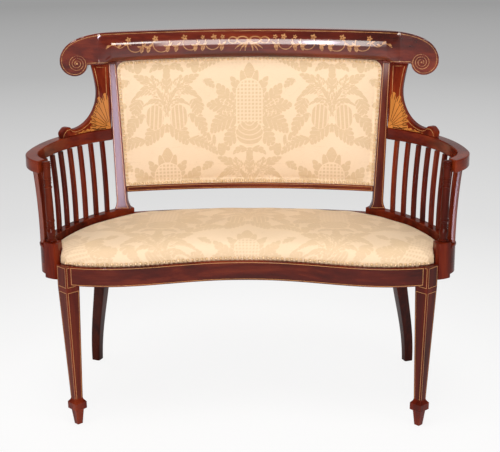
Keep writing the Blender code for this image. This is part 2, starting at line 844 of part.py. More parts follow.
def wingOutline():
    # Ear at the front, dip behind it, then the hollow sweep up to the crest
    dip = wingFoot(WING_DIP_LENGTH) + WING_DIP
    back = WING_DIP_LENGTH + 0.012
    ear = [(WING_LENGTH, wingFoot(WING_LENGTH) + 0.001), (WING_LENGTH - 0.0035, dip - 0.004),
           (back + EAR_LENGTH * 0.75, dip + EAR_HEIGHT * 0.7),
           (back + EAR_LENGTH * 0.4, dip + EAR_HEIGHT), (back, dip + EAR_HEIGHT * 0.9),
           (back - 0.004, dip + EAR_HEIGHT * 0.35)]
    centre = dip + WING_ARC
    top = CREST_END_BOTTOM - GAP
    sweep = []
    for i in range(9):
        angle = math.radians(90.0 * i / 8)
        sweep.append((WING_DIP_LENGTH - WING_ARC * math.sin(angle),
                      centre - WING_ARC * math.cos(angle)))
    waist = sweep[-1][0]
    for i in range(1, 4):
        sweep.append((waist + (WING_TOP_LENGTH - waist) * (i / 3) ** 2,
                      centre + (top - centre) * i / 3))
    return ear, sweep


def wingRows():
    # Each row runs from the foot or the post to the outline
    ear, sweep = wingOutline()
    rows = [((length, wingFoot(length)), (length, z)) for length, z in ear]
    turning = 6
    top = CREST_END_BOTTOM - GAP
    low = wingFoot(0.0)
    for i, point in enumerate(sweep):
        if i < turning:
            length = WING_DIP_LENGTH * (1 - i / (turning - 1))
            rows.append(((length, wingFoot(length)), point))
        else:
            share = (i - turning + 1) / (len(sweep) - turning)
            rows.append(((0.0, low + (top - low) * share), point))
    return rows


def addWings(wood):
    columns = 6
    for side, word in SIDES:
        front, rear = [], []
        for (s0, z0), (s1, z1) in wingRows():
            frontRow, rearRow = [], []
            for c in range(columns + 1):
                length, z = s0 + (s1 - s0) * c / columns, z0 + (z1 - z0) * c / columns
                x, y = wingPlace(length, z)
                nx, ny = wingNormal(length, z)
                frontRow.append((side * x, y, z))
                rearRow.append((side * (x + nx * WING_THICKNESS), y + ny * WING_THICKNESS, z))
            front.append(frontRow)
            rear.append(rearRow)
        wing = addGrid("wing_" + word, front, rear, wood, smooth=True)
        level = ARM_TOP_BACK
        outer = postX(level) + postWidth(level) / 2 + GAP
        keepSide(wing, (side * outer, 0, level), (-side, 0, postOuterSlope()))


def wingNormal(length, z):
    # Away from the sitter, square to the wing's run at one height
    step = 0.002
    x1, y1 = wingPlace(length - step, z)
    x2, y2 = wingPlace(length + step, z)
    run = math.hypot(x2 - x1, y2 - y1)
    return -(y2 - y1) / run, (x2 - x1) / run


# Upholstery

def seatOutline():
    # Half outline of the pad from the middle of the front round to the middle of the back
    inward = SEAT_LEDGE + GAP
    points = []
    reach = FRONT_LEG_X + 0.006
    for i in range(SEAT_STEPS + 1):
        points.append(frontPoint(reach * i / SEAT_STEPS, inward))
    half = LEG_TOP_SIZE / 2
    side = half - SEAT_LEDGE - GAP
    back = half - GAP
    root = math.sqrt(0.5)
    points.append((FRONT_LEG_X + (side + back) * root, FRONT_LEG_Y + (back - side) * root))
    inner = -SIDE_RAIL_THICKNESS - GAP
    for turn in (-35, -14, CORNER_TURN):
        points.append(galleryPoint(turn, inner))
    count = 9
    last = turnAtX(JOIN_X + 0.002, inner)
    for i in range(1, count + 1):
        points.append(galleryPoint(CORNER_TURN + (last - CORNER_TURN) * i / count, inner))
    steps = 8
    start = JOIN_X - 0.003
    for i in range(steps + 1):
        x = start * (1 - i / steps)
        points.append((x, backMiddleY(x) - BACK_RAIL_THICKNESS / 2 - GAP))
    return points


def seatLoop():
    half = seatOutline()
    return half + [(-x, y) for x, y in reversed(half[1:-1])]


def addSeatPad(fabric, cutters):
    loop = seatLoop()
    centreY = (loop[0][1] + max(p[1] for p in loop)) / 2
    bottom = SEAT_LEVEL + WEB_THICKNESS + CLOTH + 3 * GAP
    edge = PAD_EDGE_TOP - bottom
    crown = PAD_CROWN_TOP - PAD_EDGE_TOP
    levels = ((0.990, bottom), (0.998, bottom + edge * 0.10), (1.0, bottom + edge * 0.32),
              (0.992, bottom + edge * 0.66), (0.968, PAD_EDGE_TOP),
              (0.92, PAD_EDGE_TOP + crown * 0.34), (0.80, PAD_EDGE_TOP + crown * 0.64),
              (0.60, PAD_EDGE_TOP + crown * 0.86), (0.32, PAD_EDGE_TOP + crown * 0.98),
              (0.08, PAD_CROWN_TOP))
    rings = []
    for scale, z in levels:
        rings.append([(x * scale, centreY + (y - centreY) * scale, z) for x, y in loop])
    pad = addLoft("seat_pad", rings, fabric, smooth=True)
    for cutter in cutters:
        cutBy(pad, cutter)


def seatBackY(x, inset):
    # Inner face of the seat frame behind a point of the front
    if abs(x) <= JOIN_X:
        return backMiddleY(x) - BACK_RAIL_THICKNESS / 2 - inset
    reach = SIDE_RADIUS - SIDE_RAIL_THICKNESS - inset
    return CENTRE_Y + math.sqrt(max(0.0, reach ** 2 - (abs(x) - CENTRE_X) ** 2))


def seatSideX(y, inset):
    reach = SIDE_RADIUS - SIDE_RAIL_THICKNESS - inset
    return CENTRE_X + math.sqrt(reach ** 2 - (y - CENTRE_Y) ** 2)


def boxSolid(corners, low, high):
    return loftMesh([[(x, y, low) for x, y in corners], [(x, y, high) for x, y in corners]])


def addSeatWebbing(webbing):
    # Strips across the seat joined to thicker strips from front to back
    half = WEB_WIDTH / 2
    inset = 0.003
    low = SEAT_LEVEL + GAP
    long, cross = [], []
    for i in range(SEAT_WEBS_LONG):
        y = CORNER_Y + WEB_WIDTH * 0.2 + 0.075 * i
        near = min(seatSideX(y - half, inset), seatSideX(y + half, inset))
        corners = ((-near, y - half), (near, y - half), (near, y + half), (-near, y + half))
        long.append(boxSolid(corners, low + GAP, low + WEB_THICKNESS - GAP))
    pitch = 2 * JOIN_X / SEAT_WEBS_CROSS
    for i in range(SEAT_WEBS_CROSS):
        x = pitch * (i - (SEAT_WEBS_CROSS - 1) / 2)
        edges = (x - half * 0.8, x + half * 0.8)
        start = max(frontPoint(e, SEAT_LEDGE + inset)[1] for e in edges)
        end = min(seatBackY(e, inset) for e in edges)
        corners = ((edges[0], start), (edges[1], start), (edges[1], end), (edges[0], end))
        cross.append(boxSolid(corners, low, low + WEB_THICKNESS))
    addLattice("seat_webbing", long, cross, webbing)


def addSeatHessian(hessian, cutters):
    scale = 0.985
    loop = seatLoop()
    centreY = (loop[0][1] + max(p[1] for p in loop)) / 2
    low = SEAT_LEVEL + WEB_THICKNESS + 2 * GAP
    ring = [(x * scale, centreY + (y - centreY) * scale) for x, y in loop]
    sheet = addLoft("seat_hessian", [[(x, y, z) for x, y in ring] for z in (low, low + CLOTH)],
                    hessian)
    for cutter in cutters:
        cutBy(sheet, cutter)


def evenlySpaced(points, pitch):
    # Places at one pitch along a polyline, with the direction of its run
    lengths = [0.0]
    for p, q in zip(points, points[1:]):
        lengths.append(lengths[-1] + math.dist(p, q))
    count = max(1, round(lengths[-1] / pitch))
    places = []
    k = 0
    for i in range(count + 1):
        target = lengths[-1] * i / count
        while k < len(points) - 2 and lengths[k + 1] < target:
            k += 1
        share = (target - lengths[k]) / (lengths[k + 1] - lengths[k])
        p, q = points[k], points[k + 1]
        spot = [a + (b - a) * share for a, b in zip(p, q)]
        run = [b - a for a, b in zip(p, q)]
        places.append((spot, run))
    return places


def addSeatNails(brass):
    reach = FRONT_LEG_X + 0.006
    line = [frontPoint(reach * i / SEAT_STEPS, SEAT_LEDGE - GAP)
            for i in range(-SEAT_STEPS, SEAT_STEPS + 1)]
    z = FRONT_RAIL_TOP + NAIL_RADIUS + 2 * GAP
    spots = []
    for (x, y), (dx, dy) in evenlySpaced(line, SEAT_NAIL_PITCH):
        spots.append((Vector((x, y, z)), Vector((dy, -dx, 0)).normalized(), Vector((dx, dy, 0))))
    verts, faces = beadRow(spots, NAIL_RADIUS, NAIL_DOME, False)
    addObject("seat_nails", verts, faces, brass)


# Back upholstery

BACK_COLUMNS = (0.0, 0.12, 0.24, 0.36, 0.48, 0.60, 0.70, 0.79, 0.86, 0.92, 0.957, 1.0)
BACK_ROWS = (0.0, 0.045, 0.08, 0.14, 0.22, 0.35, 0.5, 0.65, 0.78, 0.86, 0.92, 0.955, 1.0)
LOWER_RAIL_TOP = LOWER_RAIL_BOTTOM + LOWER_RAIL_HEIGHT


def cornerDrop(x, wide):
    # How far the rounded corner lies below the top edge
    over = min(BACK_CORNER, max(0.0, x - (wide - BACK_CORNER)))
    return BACK_CORNER - math.sqrt(BACK_CORNER ** 2 - over ** 2)


def addCornerFillets(wood):
    # Hollow fillets that round the top corners of the back opening
    wide = postInner(CREST_END_BOTTOM) - 2 * GAP
    half = BACK_RAIL_THICKNESS * 0.4
    for side, word in SIDES:
        front, rear = [], []
        for share in (0.40, 0.58, 0.74, 0.87, 0.985):
            x = wide - BACK_CORNER * (1 - share)
            high = crestBottom(x) - GAP
            low = high - GAP - cornerDrop(x, wide)
            lowX, highX = x, x
            if share > 0.9:
                lowX, highX = postInner(low) - GAP, postInner(high) - GAP
            ends = ((lowX, low), (highX, high))
            front.append([(side * px, backY(px, z) - half, z) for px, z in ends])
            rear.append([(side * px, backY(px, z) + half, z) for px, z in ends])
        addGrid("back_fillet_" + word, front, rear, wood)


def backPanelPoint(u, v, inset):
    # u runs across from -1 to 1, v up from 0 to 1, inside the back frame
    low = LOWER_RAIL_TOP + GAP + inset
    wide = postInner(CREST_END_BOTTOM) - GAP - inset
    corner = cornerDrop(abs(u) * wide, wide)
    high = crestBottom(u * wide) - GAP - inset - corner
    if corner > 0:
        high -= 2 * GAP
    z = low + (high - low) * v
    return u * (postInner(z) - GAP - inset), z


def backPanelGrid(frontOffset, rearOffset, inset, crown=0.0):
    columns = [-c for c in reversed(BACK_COLUMNS[1:])] + list(BACK_COLUMNS)
    front, rear = [], []
    high = CREST_BOTTOM - LOWER_RAIL_TOP
    band = 3.8 * NAIL_RADIUS
    for v in BACK_ROWS:
        frontRow, rearRow = [], []
        for u in columns:
            x, z = backPanelPoint(u, v, inset)
            y = backY(x, z)
            side = (1 - abs(u)) * POST_X - band
            rise = min(v, 1 - v) * high - band
            puff = crown * roundRise(side / 0.085) * roundRise(rise / 0.085)
            frontRow.append((x, y + frontOffset - puff, z))
            rearRow.append((x, y + rearOffset, z))
        front.append(frontRow)
        rear.append(rearRow)
    return front, rear


def roundRise(t):
    t = max(0.0, min(1.0, t))
    return math.sqrt(1 - (1 - t) ** 2)


def addBackUpholstery(fabric, hessian, webbing, brass):
    front, rear = backPanelGrid(-BACK_PAD_EDGE, BACK_PAD_REAR, 0.0, BACK_PAD_CROWN)
    addGrid("back_pad", front, rear, fabric, smooth=True)
    level = BACK_PAD_REAR + GAP
    front, rear = backPanelGrid(level, level + CLOTH, 0.001)
    addGrid("back_hessian", front, rear, hessian)
    level += CLOTH + GAP
    addBackWebbing(webbing, level)
    level += WEB_THICKNESS + 2 * GAP
    front, rear = backPanelGrid(level, level + CLOTH, 0.0)
    addGrid("outside_back", front, rear, fabric)
    addBackNails(brass)


def webStrip(points, halfWide, near, far, upright):
    # A strip through (u, v) places of the back panel, between two levels behind it
    front, rear = [], []
    for u, v in points:
        frontRow, rearRow = [], []
        for k in (-1, 1):
            x, z = backPanelPoint(u, v, 0.001)
            if upright:
                x += k * halfWide
            else:
                z += k * halfWide
            frontRow.append((x, backY(x, z) + near, z))
            rearRow.append((x, backY(x, z) + far, z))
        front.append(frontRow)
        rear.append(rearRow)
    return gridMesh(front, rear)


def addBackWebbing(webbing, level):
    half = WEB_WIDTH * 0.4
    across, upright = [], []
    for v in (0.22, 0.5, 0.78):
        points = [(-1 + 2 * i / 16, v) for i in range(17)]
        across.append(webStrip(points, half, level + 0.3 * WEB_THICKNESS,
                               level + 0.7 * WEB_THICKNESS, False))
    for u in (-0.6, -0.2, 0.2, 0.6):
        points = [(u, i / 4) for i in range(5)]
        upright.append(webStrip(points, half, level, level + WEB_THICKNESS, True))
    addLattice("back_webbing", across, upright, webbing)


def addBackNails(brass):
    inset = NAIL_RADIUS + 2 * GAP
    edge = []
    steps = 40
    for i in range(steps):
        edge.append(backPanelPoint(1 - 2 * i / steps, 0.0, inset))
    for i in range(steps // 2):
        edge.append(backPanelPoint(-1, 2 * i / steps, inset))
    for i in range(steps * 2):
        edge.append(backPanelPoint(-1 + i / steps, 1.0, inset))
    for i in range(steps // 2 + 1):
        edge.append(backPanelPoint(1, 1 - 2 * i / steps, inset))
    step = 0.004
    spots = []
    for (x, z), (dx, dz) in evenlySpaced(edge, BACK_NAIL_PITCH)[:-1]:
        y = backY(x, z) - BACK_PAD_EDGE - 1.8 * GAP
        slope = (backY(x + step, z) - backY(x - step, z)) / (2 * step)
        lean = (backY(x, z + step) - backY(x, z - step)) / (2 * step)
        spots.append((Vector((x, y, z)), Vector((slope, -1.0, lean)).normalized(),
                      Vector((dx, slope * dx + lean * dz, dz))))
    verts, faces = beadRow(spots, NAIL_RADIUS, NAIL_DOME, True)
    addObject("back_nails", verts, faces, brass)


# Glue blocks and screws

def frontBlockCorners():
    # Behind the front rail, against the leg's inner back face
    near = FRONT_LEG_X - GLUE_BLOCK_LEG_SIDE
    y = frontPoint(near + GLUE_BLOCK_LEG_SIDE / 4, FRONT_RAIL_THICKNESS)[1] + 2 * GAP
    return ((FRONT_LEG_X - GLUE_BLOCK_LENGTH, y), (near, y),
            (near + GLUE_BLOCK_LEG_SIDE * 0.65, y + GLUE_BLOCK_DEPTH / 3),
            (near - GLUE_BLOCK_DEPTH * 0.43, y + GLUE_BLOCK_DEPTH))


def backBlockCorners():
    # In the corner between the side rail's and the back rail's cleats
    inner = -SIDE_RAIL_THICKNESS - SEAT_CLEAT - 3 * GAP
    cleat = BACK_RAIL_THICKNESS / 2 + SEAT_CLEAT + 3 * GAP
    far = galleryPoint(POST_TURN - BACK_BLOCK_TURN, inner)
    near = galleryPoint(turnAtX(JOIN_X + BACK_BLOCK_CORNER / 3, inner), inner)
    corner = JOIN_X - BACK_BLOCK_CORNER
    along = JOIN_X - BACK_BLOCK_LENGTH
    return (far, near, (corner, backMiddleY(corner) - cleat), (along, backMiddleY(along) - cleat))


def addGlueBlocks(wood, legCutters, screwCutters):
    top = SEAT_LEVEL - GAP
    levels = (top - GLUE_BLOCK_HEIGHT, top)
    for place, corners in (("front", frontBlockCorners()), ("back", backBlockCorners())):
        for (side, word), legCutter in zip(SIDES, legCutters):
            rings = [[(side * x, y, z) for x, y in corners] for z in levels]
            block = addLoft("glue_block_%s_%s" % (place, word), rings, wood)
            if place == "front":
                cutBy(block, legCutter)
            cutBy(block, screwCutters[place, word])


def screwLine(place):
    # Head centre and direction of the screw that holds one glue block
    corners = frontBlockCorners() if place == "front" else backBlockCorners()
    z = SEAT_LEVEL - GLUE_BLOCK_HEIGHT * 0.55
    if place == "front":
        start = Vector((corners[0][0] + GLUE_BLOCK_LENGTH * 0.36,
                        corners[0][1] + GLUE_BLOCK_DEPTH / 3, z))
        along = Vector((0.0, -1.0, 0.0))
    else:
        start = Vector((corners[3][0] + BACK_BLOCK_LENGTH / 3,
                        corners[3][1] - BACK_BLOCK_LENGTH / 6, z))
        along = Vector((0.0, 1.0, 0.0))
    return start, along


def screwRings(side, place, grow):
    start, along = screwLine(place)
    across = Vector((1.0, 0.0, 0.0))
    up = Vector((0.0, 0.0, 1.0))
    sides = 8
    levels = ((-grow, SCREW_HEAD_RADIUS), (0.003, SCREW_HEAD_RADIUS), (0.005, SCREW_RADIUS),
              (SCREW_LENGTH - 0.006, SCREW_RADIUS), (SCREW_LENGTH + grow, SCREW_RADIUS * 0.3))
    rings = []
    for depth, radius in levels:
        ring = []
        for k in range(sides):
            angle = math.tau * k / sides
            p = start + along * depth
            p += (across * math.cos(angle) + up * math.sin(angle)) * (radius + grow)
            ring.append((side * p.x, p.y, p.z))
        rings.append(ring)
    return rings


def addScrews(steel):
    cutters = {}
    for place in ("front", "back"):
        for side, word in SIDES:
            name = "screw_%s_%s" % (place, word)
            addLoft(name, screwRings(side, place, 0.0), steel)
            cutters[place, word] = addCutter(name + "_hole", screwRings(side, place, GAP))
    return cutters


def placeOnOrigin():
    # Moves everything so that the origin is the middle of the footprint, on the floor
    bpy.context.view_layer.update()
    graph = bpy.context.evaluated_depsgraph_get()
    low, high = Vector((1e9, 1e9, 1e9)), Vector((-1e9, -1e9, -1e9))
    for obj in bpy.context.collection.objects:
        if obj.type != 'MESH' or obj.hide_render:
            continue
        mesh = obj.evaluated_get(graph).to_mesh()
        for vert in mesh.vertices:
            for i in range(3):
                low[i] = min(low[i], vert.co[i])
                high[i] = max(high[i], vert.co[i])
    middle = (low + high) / 2
    for obj in bpy.context.collection.objects:
        obj.location = (-middle.x, -middle.y, -low.z)
    print("size", [round(v, 4) for v in high - low], "middle", [round(v, 5) for v in middle])


for old in list(bpy.data.objects):
    bpy.data.objects.remove(old, do_unlink=True)

CUTTER_MATERIAL = makeMaterial("cutter", (0.8, 0.1, 0.1), 0.5)


def buildSettee():
    mahogany = makeMaterial("polished_mahogany", (0.16, 0.035, 0.014), 0.22)
    beech = makeMaterial("beech", (0.45, 0.30, 0.17), 0.6)
    damask = makeMaterial("cream_damask", (0.87, 0.72, 0.47), 0.8)
    hessian = makeMaterial("hessian", (0.42, 0.31, 0.18), 0.95)
    webbing = makeMaterial("webbing", (0.55, 0.47, 0.34), 0.9)
    brass = makeMaterial("brass_nails", (0.72, 0.52, 0.24), 0.3, 1.0)
    steel = makeMaterial("steel_screws", (0.45, 0.44, 0.42), 0.4, 1.0)

    tallCutters = [addCutter("leg_clearance_tall_" + word, legCutterRings(side, BLOCK_TOP + 0.05))
                   for side, word in SIDES]
    lowCutters = [addCutter("leg_clearance_" + word, legCutterRings(side, FRONT_RAIL_TOP + GAP))
                  for side, word in SIDES]
    blockCutters = [addCutter("block_clearance_" + word, blockRings(side, 2 * GAP))
                    for side, word in SIDES]

    screws = addScrews(steel)

    addLegs(mahogany)
    addFrontRail(mahogany, tallCutters + [screws["front", word] for _, word in SIDES])
    addArmBlocks(mahogany, tallCutters)
    addSideRails(mahogany)
    addBackRail(mahogany, [screws["back", word] for _, word in SIDES])
    addSpindles(mahogany)
    addColumns(mahogany)
    addArms(mahogany)
    addPosts(mahogany)
    addLowerRail(mahogany)
    addCrest(mahogany)
    addWings(mahogany)
    addCornerFillets(mahogany)
    addSeatWebbing(webbing)
    addSeatHessian(hessian, lowCutters + blockCutters)
    addSeatPad(damask, lowCutters + blockCutters)
    addSeatNails(brass)
    addBackUpholstery(damask, hessian, webbing, brass)
    addGlueBlocks(beech, tallCutters, screws)
    placeOnOrigin()


buildSettee()
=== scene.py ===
import bpy
import bmesh
import math
import numpy as np
from mathutils import Matrix, Vector


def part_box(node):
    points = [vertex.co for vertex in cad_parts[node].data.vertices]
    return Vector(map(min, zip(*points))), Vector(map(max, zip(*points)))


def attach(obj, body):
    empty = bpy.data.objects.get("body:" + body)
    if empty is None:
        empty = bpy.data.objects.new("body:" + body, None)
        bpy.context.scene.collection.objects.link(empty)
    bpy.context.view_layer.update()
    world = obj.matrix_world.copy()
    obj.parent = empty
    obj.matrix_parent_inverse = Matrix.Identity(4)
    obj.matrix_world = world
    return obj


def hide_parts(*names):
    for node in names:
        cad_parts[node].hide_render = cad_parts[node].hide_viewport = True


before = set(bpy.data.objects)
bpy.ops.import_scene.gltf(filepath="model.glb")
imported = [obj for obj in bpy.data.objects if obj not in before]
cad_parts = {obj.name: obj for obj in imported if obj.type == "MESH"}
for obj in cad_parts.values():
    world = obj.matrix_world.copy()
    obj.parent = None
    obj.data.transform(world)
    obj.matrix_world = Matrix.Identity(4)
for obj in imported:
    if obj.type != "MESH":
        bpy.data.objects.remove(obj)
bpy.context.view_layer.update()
print("frame loaded")

# Plan of the settee in metres: y = 0 at the front feet, before the shift to the frame's origin
plan = {
    "legX": 0.428, "legY": 0.010, "legSize": 0.038,
    "meanY": 0.008, "swingY": 0.028, "lobeX": 0.335, "lobePower": 1.1,
    "railTop": 0.413, "railBottom": 0.365, "railDeep": 0.032, "ledge": 0.011, "rebate": 0.008,
    "sideRadius": 0.3894, "cornerRadius": 0.060, "cornerTurn": 8.0,
    "cornerOut": 0.0138, "cornerBack": 0.0585,
    "sideBottom": 0.383, "sideTop": 0.455, "sideRise": 0.014, "sideThick": 0.024,
    "blockTop": 0.463, "blockWide": 0.034, "columnTurn": -49.0, "columnIn": 0.020,
    "columnLean": 0.004, "columnRadius": 0.0102, "columnTop": 0.659,
    "armTop": 0.683, "armDrop": 0.022, "armOut": 0.0105, "armWide": 0.029, "armThick": 0.030,
    "armEnd": -60.0, "armBowOut": 0.004, "armBowBack": 0.030,
    "postX": 0.3354, "postTopX": 0.3531, "postLean": 0.040,
    "postFoot": 0.042, "postLow": 0.028, "postHigh": 0.021,
    "sag": 0.044, "crestEnd": 0.845, "crestBottom": 0.857, "clear": 0.0003,
}
planShift = (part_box("front_leg_right")[0][1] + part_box("front_leg_right")[1][1]) / 2 - plan["legY"]
seatLevel = plan["railTop"] - plan["rebate"]
sides = ((-1, "left"), (1, "right"))


# Curves that the pieces share

def frontY(x):  # cosine wave across the seat, its lobes at lobeX
    swing = np.cos(math.pi * (np.abs(x) / plan["lobeX"]) ** plan["lobePower"])
    return plan["meanY"] + plan["swingY"] * swing


def frontPoint(x, inward):  # the wave moved inward along its normal
    step = 0.0005
    slope = (frontY(x + step) - frontY(x - step)) / (2 * step)
    length = np.hypot(slope, 1.0)
    return x - slope / length * inward, frontY(x) + inward / length


cornerX = plan["legX"] + plan["cornerOut"]
cornerY = plan["legY"] + plan["cornerBack"]
armReach = plan["sideRadius"] - plan["cornerRadius"]
sideX = cornerX - armReach * math.cos(math.radians(plan["cornerTurn"]))
sideY = cornerY - armReach * math.sin(math.radians(plan["cornerTurn"]))


def galleryPoint(turn, offset):  # the side arc, then the tighter corner arc it runs into
    turn = np.asarray(turn, float)
    onSide = turn >= plan["cornerTurn"]
    reach = np.where(onSide, plan["sideRadius"], plan["cornerRadius"]) + offset
    angle = np.radians(turn)
    x = np.where(onSide, sideX, cornerX) + reach * np.cos(angle)
    y = np.where(onSide, sideY, cornerY) + reach * np.sin(angle)
    return x, y


def turnAtX(x, offset):  # the turn at which the side arc crosses one x
    return math.degrees(math.acos((x - sideX) / (plan["sideRadius"] + offset)))


def walked(turn, offset):  # length from the post forward to a turn, along both arcs
    turn = np.asarray(turn, float)
    side = np.radians(postTurn - np.maximum(turn, plan["cornerTurn"])) * (plan["sideRadius"] + offset)
    corner = plan["cornerTurn"] - np.minimum(turn, plan["cornerTurn"])
    return side + np.radians(corner) * (plan["cornerRadius"] + offset)


def turnAfter(length, offset):  # the turn reached after a length from the post
    sideLength = math.radians(postTurn - plan["cornerTurn"]) * (plan["sideRadius"] + offset)
    onSide = postTurn - np.degrees(length / (plan["sideRadius"] + offset))
    onCorner = plan["cornerTurn"] - np.degrees((length - sideLength) / (plan["cornerRadius"] + offset))
    return np.where(length <= sideLength, onSide, onCorner)


postTurn = turnAtX(plan["postX"], -plan["sideThick"] / 2)
postY0 = float(galleryPoint(postTurn, -plan["sideThick"] / 2)[1])
armLength = float(walked(plan["armEnd"], plan["armOut"]))


def sideTop(turn):  # top of the side rail, rising evenly towards the post
    share = (np.asarray(turn, float) - plan["cornerTurn"]) / (postTurn - plan["cornerTurn"])
    return plan["sideTop"] + plan["sideRise"] * np.clip(share, 0, 1)


postZ0 = float(sideTop(postTurn))


def armPoint(turn, offset):  # the gallery curve bowed outward and back as it nears the corner
    share = smoothStep((postTurn - np.asarray(turn, float)) / (postTurn - plan["cornerTurn"]))
    x, y = galleryPoint(turn, offset)
    return x + plan["armBowOut"] * share, y + plan["armBowBack"] * share


def armTop(turn):  # top of the arm, falling as the square of the way walked
    share = np.clip(walked(np.minimum(turn, postTurn), plan["armOut"]) / armLength, 0, None)
    return plan["armTop"] - plan["armDrop"] * share ** 2


def postShare(z):  # 0 at the foot of the post, 1 under the crest
    return (z - postZ0) / (plan["crestEnd"] - postZ0)


def postX(z):  # the middle of the post, leaning out evenly
    return plan["postX"] + (plan["postTopX"] - plan["postX"]) * postShare(z)


def postWidth(z):  # narrowing evenly with height
    return plan["postLow"] + (plan["postHigh"] - plan["postLow"]) * postShare(z)


def postOuter(z):  # just clear of the post's outer face
    return postX(z) + postWidth(z) / 2 + plan["clear"]


def postInner(z):  # just clear of the post's inner face
    return postX(z) - postWidth(z) / 2 - plan["clear"]


openingHalf = plan["postTopX"] - plan["postHigh"] / 2


def openingTop(x):  # parabola of the crest's lower edge between the posts
    return plan["crestBottom"] - (plan["crestBottom"] - plan["crestEnd"]) * 0.5 * (x / openingHalf) ** 2


def backY(x, z):  # parabola across between the two leaning posts
    return postY0 + plan["postLean"] * postShare(z) + plan["sag"] * (1 - (x / postX(z)) ** 2)


def smoothStep(t):  # from 0 to 1 with level ends
    t = np.clip(t, 0.0, 1.0)
    return t * t * (3.0 - 2.0 * t)


def roundOver(away, radius):  # depth of a quarter-round edge at a distance from the edge
    return radius - np.sqrt(np.clip(radius ** 2 - (radius - np.minimum(away, radius)) ** 2, 0, None))


# Mesh making

def gridQuads(rows, cols):  # four neighbours of each cell of closed rings, by index arithmetic
    r = np.arange(rows - 1)[:, None]
    c = np.arange(cols)[None, :]
    n = (c + 1) % cols
    quads = np.stack([r * cols + c, r * cols + n, (r + 1) * cols + n, (r + 1) * cols + c], -1)
    return quads.reshape(-1, 4)


def runAlong(points):  # the way walked from the first of a row of points to each of them
    return np.concatenate([[0], np.cumsum(np.linalg.norm(np.diff(points, axis=0), axis=1))])


def placePiece(name, node, mesh):
    piece = bpy.data.objects.new(name, mesh)
    bpy.context.collection.objects.link(piece)
    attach(piece, "root")
    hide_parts(node)
    return piece


def addPiece(name, node, points, faces, material, slotName, values=None, uv=None, sharp=32, flat=False):
    mesh = bpy.data.meshes.new(name)
    mesh.from_pydata((points.reshape(-1, 3) + (0, planShift, 0)).tolist(), [], faces)
    for label, numbers in (values or {}).items():
        attribute = mesh.attributes.new(label, 'FLOAT', 'POINT')
        attribute.data.foreach_set("value", np.asarray(numbers, np.float32).ravel())
    if uv is not None:
        layer = mesh.uv_layers.new(name="cloth")
        index = np.zeros(len(mesh.loops), np.int32)
        mesh.loops.foreach_get("vertex_index", index)
        layer.data.foreach_set("uv", np.asarray(uv, np.float32)[index].ravel())
    work = bmesh.new()
    work.from_mesh(mesh)
    bmesh.ops.recalc_face_normals(work, faces=work.faces)
    work.to_mesh(mesh)
    work.free()
    mesh.shade_smooth()
    mesh.set_sharp_from_angle(angle=math.radians(sharp))
    mesh.materials.append(material)
    piece = placePiece(name, node, mesh)
    if flat:  # broad faces keep their own direction, so they mirror the lamps as planes
        piece.modifiers.new("flatFaces", 'WEIGHTED_NORMAL').keep_sharp = True
    return piece


def addTube(name, node, rings, material, values=None, slotName="polished_mahogany", **more):
    # Closed rings along a path, with a fan to a middle point at each end
    rows, cols = rings.shape[:2]
    points = np.concatenate([rings.reshape(-1, 3), [rings[0].mean(0), rings[-1].mean(0)]])
    faces = gridQuads(rows, cols).tolist()
    first, last, top = rows * cols, rows * cols + 1, (rows - 1) * cols
    faces += [[first, (k + 1) % cols, k] for k in range(cols)]
    faces += [[last, top + k, top + (k + 1) % cols] for k in range(cols)]
    padded = {label: np.append(numbers, (0.0, 0.0)) for label, numbers in (values or {}).items()}
    return addPiece(name, node, points, faces, material, slotName, padded, **more)


def addPair(name, node, rings, material, values=None, **more):
    # The piece on the right, and its mirror image on the left
    for side, word in sides:
        addTube("%s_%s" % (name, word), "%s_%s" % (node, word), rings * (side, 1, 1), material, values,
                **more)


def roundedSection():
    # Rectangle with quarter circles at its corners and a point in the middle of each side:
    # which corner, which way from it, and how the point counts for the stringing
    rows, steps = [], 3
    for face, start in enumerate((-90, 0, 90, 180)):
        middle = math.radians(start)
        mx, my = round(math.cos(middle)), round(math.sin(middle))
        rows.append((mx, my, mx, my, 1.0, 0.0, face))
        cx, cy = round(math.cos(middle) - math.sin(middle)), round(math.sin(middle) + math.cos(middle))
        for i in range(steps + 1):
            angle = math.radians(start + 90 * i / steps)
            atFace = 1.0 if i in (0, steps) else 0.0
            owner = face if i == 0 else (face + 1) % 4
            rows.append((cx, cy, math.cos(angle), math.sin(angle), 0.0, atFace, owner))
    return np.array(rows)


def sweepBar(centre, wideAxis, deepAxis, halfWide, halfDeep, radius, strungFaces=(), endRound=False):
    # The rounded section carried along a path; also returns how far each point lies from the
    # edge of its own face and from the ends of the path
    count = len(centre)
    halfWide, halfDeep = (np.array(np.broadcast_to(half, (count,)), float)
                          for half in (halfWide, halfDeep))
    wideAxis, deepAxis = (np.broadcast_to(axis, (count, 3)) for axis in (wideAxis, deepAxis))
    if endRound:
        centre, wideAxis, deepAxis, halfWide, halfDeep = roundEnds(
            centre, wideAxis, deepAxis, halfWide, halfDeep, radius)
    cornerWide, cornerDeep, awayWide, awayDeep, isMiddle, atFace, owner = roundedSection().T
    a = cornerWide * (halfWide[:, None] - radius) + awayWide * radius
    b = cornerDeep * (halfDeep[:, None] - radius) + awayDeep * radius
    rings = centre[:, None] + a[..., None] * wideAxis[:, None] + b[..., None] * deepAxis[:, None]
    half = np.where(owner % 2 == 0, halfWide[:, None], halfDeep[:, None])
    edge = np.isin(owner, strungFaces) * (isMiddle * half + atFace * radius)
    run = runAlong(centre)
    end = np.minimum(run, run[-1] - run)[:, None] * np.ones_like(edge)
    return rings, edge, end


